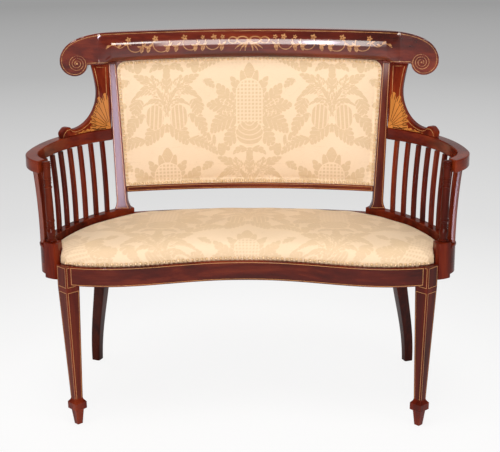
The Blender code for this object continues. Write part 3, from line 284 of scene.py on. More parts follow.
def roundEnds(centre, wideAxis, deepAxis, halfWide, halfDeep, radius):
    # One smaller station at each end, and the full one moved in by the radius
    first = centre[1] - centre[0]
    last = centre[-2] - centre[-1]
    first = first / np.linalg.norm(first) * radius
    last = last / np.linalg.norm(last) * radius
    centre = np.concatenate([[centre[0], centre[0] + first * 0.3, centre[0] + first],
                             centre[1:-1], [centre[-1] + last, centre[-1] + last * 0.3, centre[-1]]])

    def stretch(values):
        return np.concatenate([[values[0]] * 3, values[1:-1], [values[-1]] * 3])

    halfWide, halfDeep = stretch(halfWide), stretch(halfDeep)
    for half in (halfWide, halfDeep):
        half[[0, -1]] -= radius * 0.9
        half[[1, -2]] -= radius * 0.28
    return centre, stretch(wideAxis), stretch(deepAxis), halfWide, halfDeep


# Shader nodes

def setSocket(tree, socket, value):  # a number or a tuple is set on the socket, a result is linked
    if isinstance(value, bpy.types.NodeSocket):
        tree.links.new(value, socket)
    else:
        socket.default_value = (*value, 1.0) if socket.type == 'RGBA' else value


def setSockets(tree, node, values):
    for label, value in values.items():
        setSocket(tree, node.inputs[label], value)
    return node


def addNode(tree, kind, values, **settings):
    node = tree.nodes.new(kind)
    for label, value in settings.items():
        setattr(node, label, value)
    return setSockets(tree, node, values)


def addMath(tree, operation, *values):
    return addNode(tree, 'ShaderNodeMath', dict(enumerate(values)), operation=operation).outputs[0]


def addMix(tree, factor, first, second):
    return addNode(tree, 'ShaderNodeMix', {0: factor, 6: first, 7: second}, data_type='RGBA').outputs[2]


def addNoise(tree, vector, scale, detail=4.0, roughness=0.55, distortion=0.0):
    values = {"Vector": vector, "Scale": scale, "Detail": detail, "Roughness": roughness,
              "Distortion": distortion}
    return addNode(tree, 'ShaderNodeTexNoise', values).outputs["Fac"]


def addMapping(tree, vector, scale):
    return addNode(tree, 'ShaderNodeMapping', {"Vector": vector, "Scale": scale}).outputs[0]


def addRange(tree, *values):  # a value, its lowest and highest, and what they become
    return addNode(tree, 'ShaderNodeMapRange', dict(enumerate(values)), clamp=True).outputs[0]


def addAttribute(tree, label):
    return addNode(tree, 'ShaderNodeAttribute', {}, attribute_name=label).outputs["Fac"]


def addSplit(tree, vector):
    return addNode(tree, 'ShaderNodeSeparateXYZ', {0: vector}).outputs


def addBump(tree, height, strength, distance, values=None):
    values = {"Height": height, "Strength": strength, "Distance": distance, **(values or {})}
    return addNode(tree, 'ShaderNodeBump', values).outputs[0]


def startGroup(name, inputs):
    tree = bpy.data.node_groups.new(name, 'ShaderNodeTree')
    for label, kind, start in inputs:
        socket = tree.interface.new_socket(label, in_out='INPUT', socket_type=kind)
        if start is not None:
            socket.default_value = start
    return tree, tree.nodes.new('NodeGroupInput').outputs


def endGroup(tree, results):
    for label in results:
        tree.interface.new_socket(label, in_out='OUTPUT', socket_type='NodeSocketFloat')
    setSockets(tree, tree.nodes.new('NodeGroupOutput'), results)
    return tree


def useGroup(tree, group, values):
    return addNode(tree, 'ShaderNodeGroup', values, node_tree=group).outputs


def makeWoodFigure():
    # Long noise along the grain for the figure, a finer one across it for the pores
    tree, given = startGroup("woodFigure", [("Grain", 'NodeSocketVector', None)])
    grain = given[0]
    broad = addNoise(tree, grain, 9.0, 5.0, 0.6, 0.6)
    streak = addNoise(tree, grain, 60.0, 3.0, 0.6)
    tone = addMath(tree, 'MULTIPLY_ADD', streak, 0.35, addMath(tree, 'MULTIPLY', broad, 0.75))
    return endGroup(tree, {"Tone": tone, "Pores": addNoise(tree, grain, 240.0, 2.0, 0.5),
                           "Cloud": addNoise(tree, grain, 2.5, 2.0)})


def makeStringMask():
    # One where the nearer of the two distances is about the inset: a line parallel to the edges
    tree, given = startGroup("stringMask", [("Inset", 'NodeSocketFloat', 0.003),
                                            ("Half width", 'NodeSocketFloat', 0.0005)])
    nearest = addMath(tree, 'MINIMUM', addAttribute(tree, "stringEdge"), addAttribute(tree, "stringEnd"))
    away = addMath(tree, 'ABSOLUTE', addMath(tree, 'SUBTRACT', nearest, given[0]))
    return endGroup(tree, {"Line": addMath(tree, 'LESS_THAN', away, given[1]),
                           "Field": addMath(tree, 'GREATER_THAN', nearest, given[0])})


def startMaterial(name):
    material = bpy.data.materials.new(name)
    material.use_nodes = True
    tree = material.node_tree
    place = tree.nodes.new('ShaderNodeTexCoord').outputs["Object"]
    return material, tree, tree.nodes["Principled BSDF"], place


woodFigure = makeWoodFigure()
stringMask = makeStringMask()

mahogany = {
    "dark": (0.030, 0.0032, 0.0015), "middle": (0.118, 0.0105, 0.0032), "light": (0.245, 0.035, 0.0085),
    "box": (0.56, 0.27, 0.095), "roughness": 0.26, "specular": 0.04, "coat": 0.20, "coatRoughness": 0.085,
    "inset": 0.0034, "halfLine": 0.00055, "field": 0.35,
}


def makeMahogany(name, stretch, strung=False, inlaid=False, shade=1.0, polish=1.0, lacquer=1.5):
    # Polished red-brown wood; stringing and marquetry come from the piece's own values; a shade below 1
    # darkens every tone, painted shade for pieces that stand in shadow
    material, tree, shader, place = startMaterial(name)
    figure = useGroup(tree, woodFigure, {"Grain": addMapping(tree, place, stretch)})
    # shade multiplies all three tones: below 1 it paints shade into the wood's colour
    dark, middle, light = (tuple(c * shade for c in mahogany[tone])
                           for tone in ("dark", "middle", "light"))
    low = addMix(tree, addRange(tree, figure["Tone"], 0.38, 0.56, 0, 1), dark, middle)
    colour = addMix(tree, addRange(tree, figure["Tone"], 0.54, 0.74, 0, 1), low, light)
    if strung:
        mask = useGroup(tree, stringMask, {"Inset": mahogany["inset"], "Half width": mahogany["halfLine"]})
        colour = addMix(tree, mask["Field"], colour, addMix(tree, mahogany["field"], colour, dark))
        colour = addMix(tree, mask["Line"], colour, mahogany["box"])
    if inlaid:
        colour = addInlay(tree, colour, figure)
    rough = mahogany["roughness"]
    setSockets(tree, shader, {
        "Base Color": colour,
        "Roughness": addRange(tree, figure["Cloud"], 0.3, 0.7, rough * 0.8, rough * 1.3),
        "Specular IOR Level": mahogany["specular"], "Coat Weight": mahogany["coat"] * polish,
        "Coat Roughness": mahogany["coatRoughness"], "Coat IOR": lacquer,
        "Normal": addBump(tree, figure["Pores"], 0.06, 0.0004)})
    return material


inlay = {"box": (0.56, 0.29, 0.115), "shade": (0.30, 0.115, 0.035), "satin": (0.60, 0.22, 0.045),
         "burnt": (0.045, 0.012, 0.005)}


def addInlay(tree, colour, figure):
    # Marquetry: three woods, each where its own value of the piece is above zero
    pale = addMix(tree, addRange(tree, figure["Pores"], 0.35, 0.65, 0, 1), inlay["shade"], inlay["box"])
    warm = addMix(tree, addRange(tree, figure["Tone"], 0.35, 0.75, 0, 1),
                  tuple(c * 0.6 for c in inlay["satin"]), inlay["satin"])
    for label, wood in (("inlayLight", pale), ("inlaySatin", warm), ("inlayDark", inlay["burnt"])):
        shown = addMath(tree, 'GREATER_THAN', addAttribute(tree, label), 0.0)
        colour = addMix(tree, shown, colour, wood)
    return colour


alongZ, alongX = (1.0, 1.0, 0.12), (0.12, 1.0, 1.0)
woodUpright = makeMahogany("mahoganyUpright", alongZ)
woodLevel = makeMahogany("mahoganyLevel", alongX)
woodUprightStrung = makeMahogany("mahoganyUprightStrung", alongZ, strung=True, polish=1.2)
woodLevelStrung = makeMahogany("mahoganyLevelStrung", alongX, strung=True, polish=2.2)
woodInlaid = makeMahogany("mahoganyInlaid", alongX, inlaid=True, polish=4.4, lacquer=1.66)
woodWing = makeMahogany("mahoganyWing", alongZ, inlaid=True)
# Darkened copy for the back legs: painted shade where they stand under the seat
woodPaintedShade = makeMahogany("mahoganyPaintedShade", alongZ, shade=0.30, polish=0.4)
# Darkened copy for the arm columns: painted shade, so they read less lit than the other pieces
woodTurnedPaintedShade = makeMahogany("mahoganyTurnedPaintedShade", alongZ, shade=0.60, polish=0.8)
woodArm = makeMahogany("mahoganyArm", (0.3, 0.3, 1.0), polish=2.2)
print("wood materials made")

# Front legs

frontLeg = {"ankle": 0.0215, "collar": 0.034, "neck": 0.022, "sole": 0.015, "footTop": 0.069,
            "inset": 0.007, "radius": 0.0014, "blockDrop": 0.0074, "shaftDrop": 0.0146}


def buildFrontLegs():
    # A square section carried up the levels of the leg, its arris turned to the front
    root = math.sqrt(0.5)
    collar, neck, ankle, footTop = (frontLeg[part] for part in ("collar", "neck", "ankle", "footTop"))
    bottom, top = plan["railBottom"], plan["railTop"]
    blockLow, shaftHigh = bottom - frontLeg["blockDrop"], bottom - frontLeg["shaftDrop"]
    foot = ((0.0, frontLeg["sole"]), (0.0355, neck), (0.0372, neck * 1.04), (0.0390, collar * 0.80),
            (0.0415, collar), (0.0585, collar), (0.0615, collar * 0.86), (0.0650, collar * 0.70),
            (footTop, ankle))
    shaft = (footTop + 0.001, 0.20, shaftHigh, shaftHigh + 0.0002, blockLow - 0.0002, blockLow,
             (blockLow + top) / 2, top)
    heights = np.array([z for z, size in foot] + list(shaft))
    sizes = ankle + (plan["legSize"] - ankle) * np.clip((heights - footTop) / (bottom - footTop), 0, 1)
    sizes[:len(foot)] = [size for z, size in foot]
    lean = frontLeg["inset"] * (1 - np.clip(heights / bottom, 0, 1))
    centre = np.stack([plan["legX"] - lean, np.full_like(heights, plan["legY"]), heights], -1)
    rings, edge, end = sweepBar(centre, (root, root, 0), (-root, root, 0), sizes / 2, sizes / 2,
                                frontLeg["radius"], strungFaces=(0, 1, 2, 3))
    z = rings[..., 2]
    end = np.where(z > blockLow - 0.0001, np.minimum(top - z, z - blockLow), 0.0)
    end = np.where((z < shaftHigh + 0.0001) & (z > footTop + 0.0005), shaftHigh - z, end)
    addPair("frontLeg", "front_leg", rings, woodUprightStrung, {"stringEdge": edge, "stringEnd": end},
            flat=True)


backLeg = {"turn": 44.0, "spread": 0.052, "rake": 0.145, "top": 0.035, "foot": 0.024, "twist": 22.0,
           "radius": 0.004}


def buildBackLegs():
    # A square section swept back and out by a smooth step of the height
    drop = np.linspace(0, 1, 40)
    top = plan["sideBottom"] - plan["clear"]
    x0, y0 = galleryPoint(backLeg["turn"], -plan["sideThick"] / 2)
    sweep = smoothStep(drop)
    centre = np.stack([x0 + backLeg["spread"] * sweep, y0 + backLeg["rake"] * sweep, top * (1 - drop)], -1)
    half = (backLeg["top"] + (backLeg["foot"] - backLeg["top"]) * drop) / 2
    cos, sin = math.cos(math.radians(backLeg["twist"])), math.sin(math.radians(backLeg["twist"]))
    rings = sweepBar(centre, (cos, sin, 0), (-sin, cos, 0), half, half, backLeg["radius"])[0]
    # The back legs take the darkened copy: painted shade under the seat
    addPair("backLeg", "back_leg", rings, woodPaintedShade, flat=True)


buildFrontLegs()
buildBackLegs()
print("legs built")

# Seat frame

frontRail = {"stations": 241, "edgeRadius": 0.0022}


def legEnd(inward):
    # The x at which a line of the rail reaches the leg's faces, found on a fine row of samples
    x = np.linspace(0.34, plan["legX"], 1500)
    px, py = frontPoint(x, inward)
    half = plan["legSize"] / 2 + plan["clear"]
    dx, dy = px - plan["legX"], py - plan["legY"]
    inside = np.maximum(-dx - dy, -dx + dy) * math.sqrt(0.5) <= half
    return x[np.argmax(inside)] if inside.any() else x[-1]


def buildFrontRail():
    # An L-shaped section carried along the seat wave, each of its lines ending at the leg
    r, bottom, top = frontRail["edgeRadius"], plan["railBottom"], plan["railTop"]
    curve = [(r * (1 - math.sin(a)), r * (1 - math.cos(a))) for a in np.radians([0, 30, 60, 90])]
    section = [(inward, bottom + rise) for inward, rise in curve] + [(0.0, (bottom + top) / 2)]
    section += [(inward, top - rise) for inward, rise in reversed(curve)]
    section += [(plan["ledge"] - 0.0003, top), (plan["ledge"], top - 0.0003), (plan["ledge"], seatLevel),
                (plan["railDeep"], seatLevel), (plan["railDeep"], bottom)]
    u = np.linspace(-1, 1, frontRail["stations"])
    rings = np.zeros((len(u), len(section), 3))
    edge, end = np.zeros(rings.shape[:2]), np.zeros(rings.shape[:2])
    for k, (inward, z) in enumerate(section):
        reach = legEnd(inward)
        x, y = frontPoint(u * reach, inward)
        rings[:, k] = np.stack([x, y, np.full_like(x, z)], -1)
        end[:, k] = (1 - np.abs(u)) * reach
        edge[:, k] = min(z - bottom, top - z) if 3 <= k <= 5 else 0.0  # the three points of the face
    addTube("frontRail", "front_seat_rail", rings, woodLevelStrung, {"stringEdge": edge, "stringEnd": end},
            flat=True)


sideRail = {"bead": 0.0016, "beadHigh": 0.0065, "frontTurn": -41.6, "cleat": 0.014, "stations": 120}


def arcTurns(first, last, count):  # turns at even lengths along both arcs
    start, stop = walked(first, 0.0), walked(last, 0.0)
    return turnAfter(np.linspace(start, stop, count), 0.0)


def buildSideRails():
    # A face with a small bead along its top, carried round the gallery curve
    joinTurn = turnAtX(plan["postX"] - plan["postFoot"] / 2 - 0.002, -plan["sideThick"] / 2)
    turns = arcTurns(joinTurn, sideRail["frontTurn"], sideRail["stations"])
    bottom, thick = plan["sideBottom"], plan["sideThick"]
    bead, high = sideRail["bead"], sideRail["beadHigh"]
    inner = -thick - sideRail["cleat"]
    fixed = [(-thick, seatLevel), (inner, seatLevel), (inner, bottom), (-0.0012, bottom),
             (0.0, bottom + 0.0012)]
    risen = [(0.0, -high - 0.0008), (bead * 0.7, -high), (bead, -high + 0.0014), (bead, -0.0016),
             (bead * 0.5, -0.0004), (-0.001, 0.0), (-thick + 0.0015, 0.0), (-thick, -0.0015)]
    lines = [(*galleryPoint(turns, offset), np.full_like(turns, z)) for offset, z in fixed]
    lines += [(*galleryPoint(turns, offset), sideTop(turns) + z) for offset, z in risen]
    rings = np.stack([np.stack(line, -1) for line in lines], 1)
    addPair("sideRail", "side_rail", rings, woodLevel, flat=True)


def softCopy(name, node, material, bevel):
    # The solid's own shape with its edges eased by a small bevel
    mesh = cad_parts[node].data.copy()
    work = bmesh.new()
    work.from_mesh(mesh)
    bmesh.ops.remove_doubles(work, verts=work.verts, dist=0.00002)
    bmesh.ops.dissolve_limit(work, angle_limit=math.radians(1.0), verts=work.verts, edges=work.edges)
    work.to_mesh(mesh)
    work.free()
    mesh.materials.clear()
    mesh.materials.append(material)
    mesh.shade_smooth()
    mesh.set_sharp_from_angle(angle=math.radians(30))
    modifier = placePiece(name, node, mesh).modifiers.new("eased", 'BEVEL')
    modifier.width = bevel
    modifier.segments = 2
    modifier.limit_method = 'ANGLE'
    modifier.angle_limit = math.radians(30)


buildFrontRail()
buildSideRails()
for side, word in sides:
    softCopy("armBlock_" + word, "arm_block_" + word, woodUpright, 0.0012)
    softCopy("backFillet_" + word, "back_fillet_" + word, woodLevel, 0.0003)
softCopy("backRail", "back_seat_rail", woodLevel, 0.0010)
print("seat frame built")

# Galleries

spindle = {"count": 9, "size": 0.0105, "inset": 0.0059, "flare": 0.0115, "firstTurn": 47.65,
           "radius": 0.0011}


def buildSpindles():
    # Square bars at even lengths along the gallery, bending out by the square of their height
    inset, half = spindle["inset"], spindle["size"] / 2
    start, stop = walked(spindle["firstTurn"], -inset), walked(plan["columnTurn"], -inset)
    turns = turnAfter(start + (stop - start) * np.arange(spindle["count"]) / spindle["count"], -inset)
    share = np.linspace(0, 1, 11)
    offset = -inset + spindle["flare"] * share ** 2
    for side, word in sides:
        for number, turn in enumerate(turns, start=1):
            low = max(sideTop(turn), sideTop(turn + 1.0)) + plan["clear"]
            high = armTop(turn - 6.0) - plan["armThick"] - plan["clear"]
            foot, head = np.array(galleryPoint(turn, offset)), np.array(armPoint(turn, offset))
            centre = np.stack([*(foot + (head - foot) * share), low + (high - low) * share], -1)
            cos, sin = math.cos(math.radians(turn)), math.sin(math.radians(turn))
            rings = sweepBar(centre, (cos, sin, 0), (-sin, cos, 0), half, half, spindle["radius"])[0]
            name = "spindle_%s_%d" % (word, number)
            addTube(name, name, rings * (side, 1, 1), woodUpright, flat=True)


column = {
    "shape": ((0.0, 1.0), (0.03, 0.86), (0.06, 0.88), (0.12, 1.08), (0.16, 0.86), (0.22, 0.78),
              (0.26, 0.82), (0.30, 0.90), (0.38, 0.95), (0.64, 0.82), (0.70, 0.80), (0.80, 0.88),
              (0.91, 0.92), (1.0, 0.90)),
    "beads": ((0.014, 0.014, 0.30), (0.176, 0.007, 0.16), (0.203, 0.007, 0.16), (0.258, 0.018, 0.22),
              (0.682, 0.014, 0.20), (0.734, 0.006, 0.14), (0.768, 0.006, 0.14), (0.795, 0.006, 0.14),
              (0.920, 0.007, 0.12), (0.946, 0.007, 0.14), (0.972, 0.007, 0.14), (0.993, 0.006, 0.10)),
    "levels": 240, "sides": 32,
}


def columnMiddle(z):  # leans outward evenly with height
    share = (z - plan["blockTop"]) / (plan["columnTop"] - plan["blockTop"])
    return galleryPoint(plan["columnTurn"], -plan["columnIn"] + plan["columnLean"] * share)


def buildColumns():
    # Radius against height, each bead a half ellipse added to it, spun round the leaning middle
    shares = np.linspace(0, 1, column["levels"])
    radii = np.interp(shares, *np.array(column["shape"]).T)
    for middle, half, high in column["beads"]:
        radii += high * np.sqrt(np.clip(1 - ((shares - middle) / half) ** 2, 0, None))
    low, high = plan["blockTop"] + plan["clear"], plan["columnTop"]
    angle = np.linspace(0, math.tau, column["sides"], endpoint=False)
    radius = plan["columnRadius"] * radii[:, None]
    z = np.broadcast_to((low + (high - low) * shares)[:, None], (len(radii), len(angle)))
    cx, cy = columnMiddle(z)
    rings = np.stack([cx + radius * np.cos(angle), cy + radius * np.sin(angle), z], -1)
    # The columns take the darkened copy: painted shade
    addPair("armColumn", "arm_column", rings, woodTurnedPaintedShade, sharp=50)


arm = {"radius": 0.0028, "stations": 150, "hollow": 1.27, "nearPost": 0.05}


def buildArms():
    # A rounded flat section carried round the bowed curve, hollowed where the column stands
    turns = arcTurns(postTurn + 1.4, plan["armEnd"], arm["stations"])
    x, y = armPoint(turns, plan["armOut"])
    angle = np.radians(turns)
    outward = np.stack([np.cos(angle), np.sin(angle), np.zeros_like(angle)], -1)
    rings = sweepBar(np.stack([x, y, armTop(turns) - plan["armThick"] / 2], -1), outward, (0.0, 0.0, -1.0),
                     plan["armWide"] / 2, plan["armThick"] / 2, arm["radius"], endRound=True)[0]
    cx, cy = columnMiddle(rings[..., 2])
    dx, dy = rings[..., 0] - cx, rings[..., 1] - cy
    away = np.maximum(np.hypot(dx, dy), 1e-6)
    push = np.maximum(away, plan["columnRadius"] * arm["hollow"] + plan["clear"]) / away
    rings[..., 0], rings[..., 1] = cx + dx * push, cy + dy * push
    nearPost = rings[..., 1] > postY0 - arm["nearPost"]
    rings[..., 0] = np.maximum(rings[..., 0], np.where(nearPost, postOuter(rings[..., 2]), -1))
    addPair("arm", "arm_rail", rings, woodArm, flat=True)


buildSpindles()
buildColumns()
buildArms()
print("galleries built")

# Back frame

post = {"flareHigh": 0.024, "deepLow": 0.027, "deepHigh": 0.024, "radius": 0.0013}


def buildPosts():
    # Rectangular section up the leaning line of the post, widened in a hollow curve at its foot
    low, high, flareHigh = postZ0 + plan["clear"], plan["crestEnd"] - plan["clear"], post["flareHigh"]
    z = np.concatenate([low + flareHigh * np.linspace(0, 1, 12),
                        np.linspace(postZ0 + flareHigh + 0.01, high, 12)])
    flare = np.clip(1 - (z - low) / flareHigh, 0, 1) ** 2
    wide = postWidth(z) + (plan["postFoot"] - plan["postLow"]) * flare
    deep = post["deepLow"] + (post["deepHigh"] - post["deepLow"]) * postShare(z)
    centre = np.stack([postX(z), backY(postX(z), z), z], -1)
    rings, edge, end = sweepBar(centre, (1, 0, 0), (0, 1, 0), wide / 2, deep / 2, post["radius"],
                                strungFaces=(0,))
    end = np.where(rings[..., 2] > 0.8, 1.0, end)  # no string across the top of a post
    addPair("backPost", "back_post", rings, woodUprightStrung, {"stringEdge": edge, "stringEnd": end},
            flat=True)


lowerRail = {"bottom": 0.513, "high": 0.016, "deep": 0.022, "radius": 0.0016}


def buildLowerRail():
    # Rounded section along the hollow of the back, between the posts
    z = lowerRail["bottom"] + lowerRail["high"] / 2
    reach = postInner(lowerRail["bottom"])
    x = np.linspace(-reach, reach, 60)
    centre = np.stack([x, backY(x, z), np.full_like(x, z)], -1)
    rings, edge, end = sweepBar(centre, (0, 0, -1), (0, 1, 0), lowerRail["high"] / 2,
                                lowerRail["deep"] / 2, lowerRail["radius"], strungFaces=(0,))
    addTube("backLowerRail", "back_lower_rail", rings, woodLevelStrung,
            {"stringEdge": edge, "stringEnd": end}, flat=True)


crest = {
    "top": 0.931, "drop": 0.0030, "archX": 0.340, "front": 0.013, "rear": 0.017,
    "roll": 0.017, "rollEnd": 0.350, "rollFade": 0.036, "straight": 0.78,
    "scrollX": 0.4395, "scrollZ": 0.850, "scroll": 0.0415, "growth": 0.17, "leave": 20.0,
    "scrollPull": 0.047, "archPull": 0.077, "round": 0.0022, "stations": 1001, "levels": 76,
    "stringIn": 0.0052, "halfString": 0.00068, "flatFrom": 0.362, "flatTo": 0.418,
    "eye": 0.0022, "wound": 0.0036, "woundOut": 0.0185,
    "vineLevel": 0.8985, "vineFall": 0.0035,
    "loops": ((0.094, 0.0190), (0.151, 0.0190), (0.225, 0.0215), (0.291, 0.0190)),
    "flowers": ((0.068, 0.0062), (0.090, 0.0080), (0.119, 0.0056), (0.166, 0.0082), (0.240, 0.0082),
                (0.308, 0.0074)),
    "leaves": (0.070, 0.119, 0.138, 0.187, 0.209, 0.258, 0.275),
    "bows": ((0.0165, 0.904, 0.014), (0.041, 0.903, 0.011)), "bowHigh": 0.0078,
    "ribbons": ((0.010, 0.873), (0.024, 0.874), (0.037, 0.880)),
}


def scrollAt(angle):  # logarithmic spiral about the eye of the scroll
    turn = np.radians(angle)
    radius = crest["scroll"] * np.exp(crest["growth"] * turn)
    return crest["scrollX"] + radius * np.cos(turn), crest["scrollZ"] + radius * np.sin(turn)


def crestArch(x):  # shallow parabola of the top edge
    return crest["top"] - crest["drop"] * (x / crest["archX"]) ** 2


def crestOutline():
    # Top line: scroll, then a cubic curve into the arch; bottom line: the scroll alone
    x1, z1 = scrollAt(np.linspace(0, crest["leave"], 60))
    leave = math.radians(crest["leave"])
    g = crest["growth"]
    along = np.array([g * math.cos(leave) - math.sin(leave), g * math.sin(leave) + math.cos(leave)])
    along /= np.linalg.norm(along)
    p0 = np.array([x1[-1], z1[-1]])
    slope = 2 * crest["drop"] / crest["archX"]
    p3 = np.array([crest["archX"], crestArch(crest["archX"])])
    p1 = p0 + crest["scrollPull"] * along
    p2 = p3 + crest["archPull"] * np.array([1.0, -slope])
    t = np.linspace(0, 1, 60)[1:, None]
    curve = (1 - t) ** 3 * p0 + 3 * (1 - t) ** 2 * t * p1 + 3 * (1 - t) * t * t * p2 + t ** 3 * p3
    topX, topZ = np.concatenate([x1, curve[:, 0]]), np.concatenate([z1, curve[:, 1]])
    lowX, lowZ = scrollAt(np.linspace(0, -145, 120))
    return (topX[::-1], topZ[::-1]), (lowX[::-1], lowZ[::-1])


def crestHeights(x):
    # Bottom and top of the crest at each distance from the middle
    (topX, topZ), (lowX, lowZ) = crestOutline()
    x = np.abs(x)
    high = np.where(x < crest["archX"], crestArch(x), np.interp(x, topX, topZ))
    low = np.where(x < openingHalf, openingTop(x), plan["crestEnd"])
    neck = lowX[0] - 0.003
    scroll = np.interp(x, np.append(neck, lowX), np.append(plan["crestEnd"], lowZ))
    return np.where(x > neck, scroll, low), high


def crestDepth(x, z, low, high):
    # Flat at the scrolls and rolled forward between them, the roll a half ellipse in height
    ax = np.abs(x)
    share = np.clip((crest["rollEnd"] + crest["rollFade"] - ax) / crest["rollFade"], 0, 1)
    roll = crest["roll"] * (crest["straight"] * share + (1 - crest["straight"]) * smoothStep(share))
    step = (plan["crestBottom"] - plan["crestEnd"]) * 0.5 * smoothStep((ax - openingHalf) / 0.04)
    inner = openingTop(np.minimum(ax, openingHalf)) - step
    rollLow = np.where(ax > crest["scrollX"] - 0.06, low, inner)
    middle, half = (rollLow + high) / 2, (high - rollLow) / 2
    bow = np.sqrt(np.clip(1 - ((z - middle) / half) ** 2, 0, 1))
    return backY(x, plan["crestEnd"]) - crest["front"] - roll * bow


def onFront(values, rear):  # the points of the rear get no inlay
    none = np.full(rear.shape[:2], -1.0)
    return {label: np.concatenate([value, none], 1) for label, value in values.items()}


def buildCrest():
    # Grid across the crest by its outline, closed over the top, down the back and underneath
    outer = float(scrollAt(0.0)[0])
    t = np.linspace(-1, 1, crest["stations"])
    x = outer * np.sign(t) * (1 - (1 - np.abs(t)) ** 1.12)
    x = np.clip(x, -outer + 1e-5, outer - 1e-5)
    # A station stands right on each fold where the roll begins and where it is full
    for fold in (crest["rollEnd"], crest["rollEnd"] + crest["rollFade"]):
        for side in (-1, 1):
            x[np.argmin(np.abs(x - side * fold))] = side * fold
    x = x[:, None]
    low, high = crestHeights(x)
    s = np.linspace(0, 1, crest["levels"])
    z = low + (high - low) * (s - 0.055 * np.sin(math.tau * s))
    xs = np.broadcast_to(x, z.shape)
    eased = roundOver(np.minimum(z - low, high - z), np.minimum(crest["round"], (high - low) * 0.45))
    front = np.stack([xs, crestDepth(xs, z, low, high) + eased, z], -1)
    zb = low + (high - low) * np.linspace(1, 0, 9)
    xb = np.broadcast_to(x, zb.shape)
    rear = np.stack([xb, backY(xb, plan["crestEnd"]) + crest["rear"], zb], -1)
    light, dark = crestInlay(xs, z, low, high)
    addTube("crestRail", "crest_rail", np.concatenate([front, rear], 1), woodInlaid,
            onFront({"inlayLight": light, "inlayDark": dark}, rear), sharp=5)


def crestInlay(x, z, low, high):
    # Stringing: one line inside the top edge, a spiral in each scroll, one along the flat ends
    ax = np.abs(x)
    half, inset, scrollEnd = crest["halfString"], crest["stringIn"], -145
    dx, dz = ax - crest["scrollX"], z - crest["scrollZ"]
    reach, angle = np.hypot(dx, dz), np.degrees(np.arctan2(dz, dx))
    line = np.full(x.shape, 1.0)
    for turn in range(-3, 1):
        at = angle + 360.0 * turn
        outline = crest["scroll"] * np.exp(crest["growth"] * np.radians(at)) - inset
        wound = crest["wound"] + (np.clip(at, -1180, scrollEnd) + 1180) / 1035 * crest["woundOut"]
        onCurve = (at < crest["leave"] + 8) & (at > -1130)
        off = np.abs(reach - np.where(at > scrollEnd, outline, wound))
        line = np.minimum(line, np.where(onCurve, off, 1))
    overArch = (angle > crest["leave"] - 4) & (angle < 135) | (ax < crest["scrollX"] - 0.03)
    slope = np.gradient(high[:, 0], x[:, 0])[:, None]
    down = (high - z) / np.hypot(1, slope)
    line = np.minimum(line, np.where(overArch & (z > crest["scrollZ"] + 0.02), np.abs(down - inset), 1))
    flat = (ax > crest["flatFrom"]) & (ax < crest["flatTo"])
    line = np.minimum(line, np.where(flat, np.abs(z - low - inset), 1))
    ornament, marks = marquetry(ax, z)
    return np.maximum(np.maximum(half - line, crest["eye"] - reach), ornament), marks


def leafAxes(u, v, base, tip, bend):
    # Share of the way along a bent middle line, distance from that line, and its length
    run = np.subtract(tip, base)
    length = math.hypot(*run)
    ux, uv = run / length
    t = ((u - base[0]) * ux + (v - base[1]) * uv) / length
    n = np.abs((v - base[1]) * ux - (u - base[0]) * uv - bend * 4 * t * (1 - t))
    return t, n, length


def cutEnds(t, length, value):  # nothing of a leaf lies before its base or past its tip
    beyond = np.maximum(-t, t - 1) * length
    return np.where(beyond > 0, -beyond, value)


def leafShape(x, z, base, tip, bend, half, vein=0.0):
    # Pointed leaf: a sine-shaped half width about a bent middle line, with a slit for its vein
    t, n, length = leafAxes(x, z, base, tip, bend)
    value = half * np.sin(math.pi * np.clip(t, 0, 1) ** 0.8) ** 0.65 - n
    if vein:
        value = np.where((t > 0.08) & (t < 0.86), np.minimum(value, n - vein), value)
    return cutEnds(t, length, value)


def rosette(x, z, centre, radius, petals):
    # Flower: a circle whose radius swells with a cosine of the angle
    dx, dz = x - centre[0], z - centre[1]
    return radius * (0.78 + 0.22 * np.cos(petals * np.arctan2(dz, dx))) - np.hypot(dx, dz)


def vineAt(ax):  # height of the vine, falling as the square of the distance from the middle
    return crest["vineLevel"] - crest["vineFall"] * (ax / 0.3) ** 2


def marquetry(ax, z):
    # A running vine of hung loops between flowers and leaves, with a bow in the middle
    wave = vineAt(ax) - 0.002 + 0.0045 * np.sin((ax - 0.30) * 165)
    wood = np.where((ax > 0.30) & (ax < 0.366), 0.0011 - np.abs(z - wave), -1)
    marks = np.full(ax.shape, -1.0)
    leaves = [((0.001, 0.899), tip, 0.003, 0.0021) for tip in crest["ribbons"]]
    for k, at in enumerate((0.312, 0.326, 0.340, 0.354)):  # up and down by turns
        leaves.append(((at, 0.894), (at + 0.010, 0.902 - 0.012 * (k % 2)), 0.0012, 0.0026))
    for centre in crest["leaves"]:
        high, low = vineAt(centre) - 0.0075, vineAt(centre) - 0.0225
        leaves.append(((centre - 0.003, high), (centre + 0.002, low), 0.001, 0.0050, 0.0005))
        for away, lean in ((-0.011, 0.010), (0.011, -0.008)):
            leaves.append(((centre, high + 0.001), (centre + away, high + 0.006 + lean * 0.4),
                           lean * 0.15, 0.0026))
    for leaf in leaves:
        wood = np.maximum(wood, leafShape(ax, z, *leaf))
    for centre, radius in crest["loops"]:
        dz = z - vineAt(ax)
        hung = 0.0012 - np.abs(np.hypot(ax - centre, dz) - radius)
        wood = np.maximum(wood, np.where(dz < 0.009, hung, -1))
    for centre, size in crest["flowers"]:
        high = vineAt(centre) + 0.0130
        wood = np.maximum(wood, rosette(ax, z, (centre, high), size, 5))
        marks = np.maximum(marks, 0.0013 - np.hypot(ax - centre, z - high))
    for centre, high, wide in crest["bows"]:
        bow = np.hypot((ax - centre) / wide, (z - high) / crest["bowHigh"])
        wood = np.maximum(wood, 0.0014 - np.abs(bow - 1) * crest["bowHigh"])
    return np.maximum(wood, rosette(ax, z, (0, 0.901), 0.0060, 6)), marks


buildPosts()
buildLowerRail()
buildCrest()
print("back frame built")

# Wings


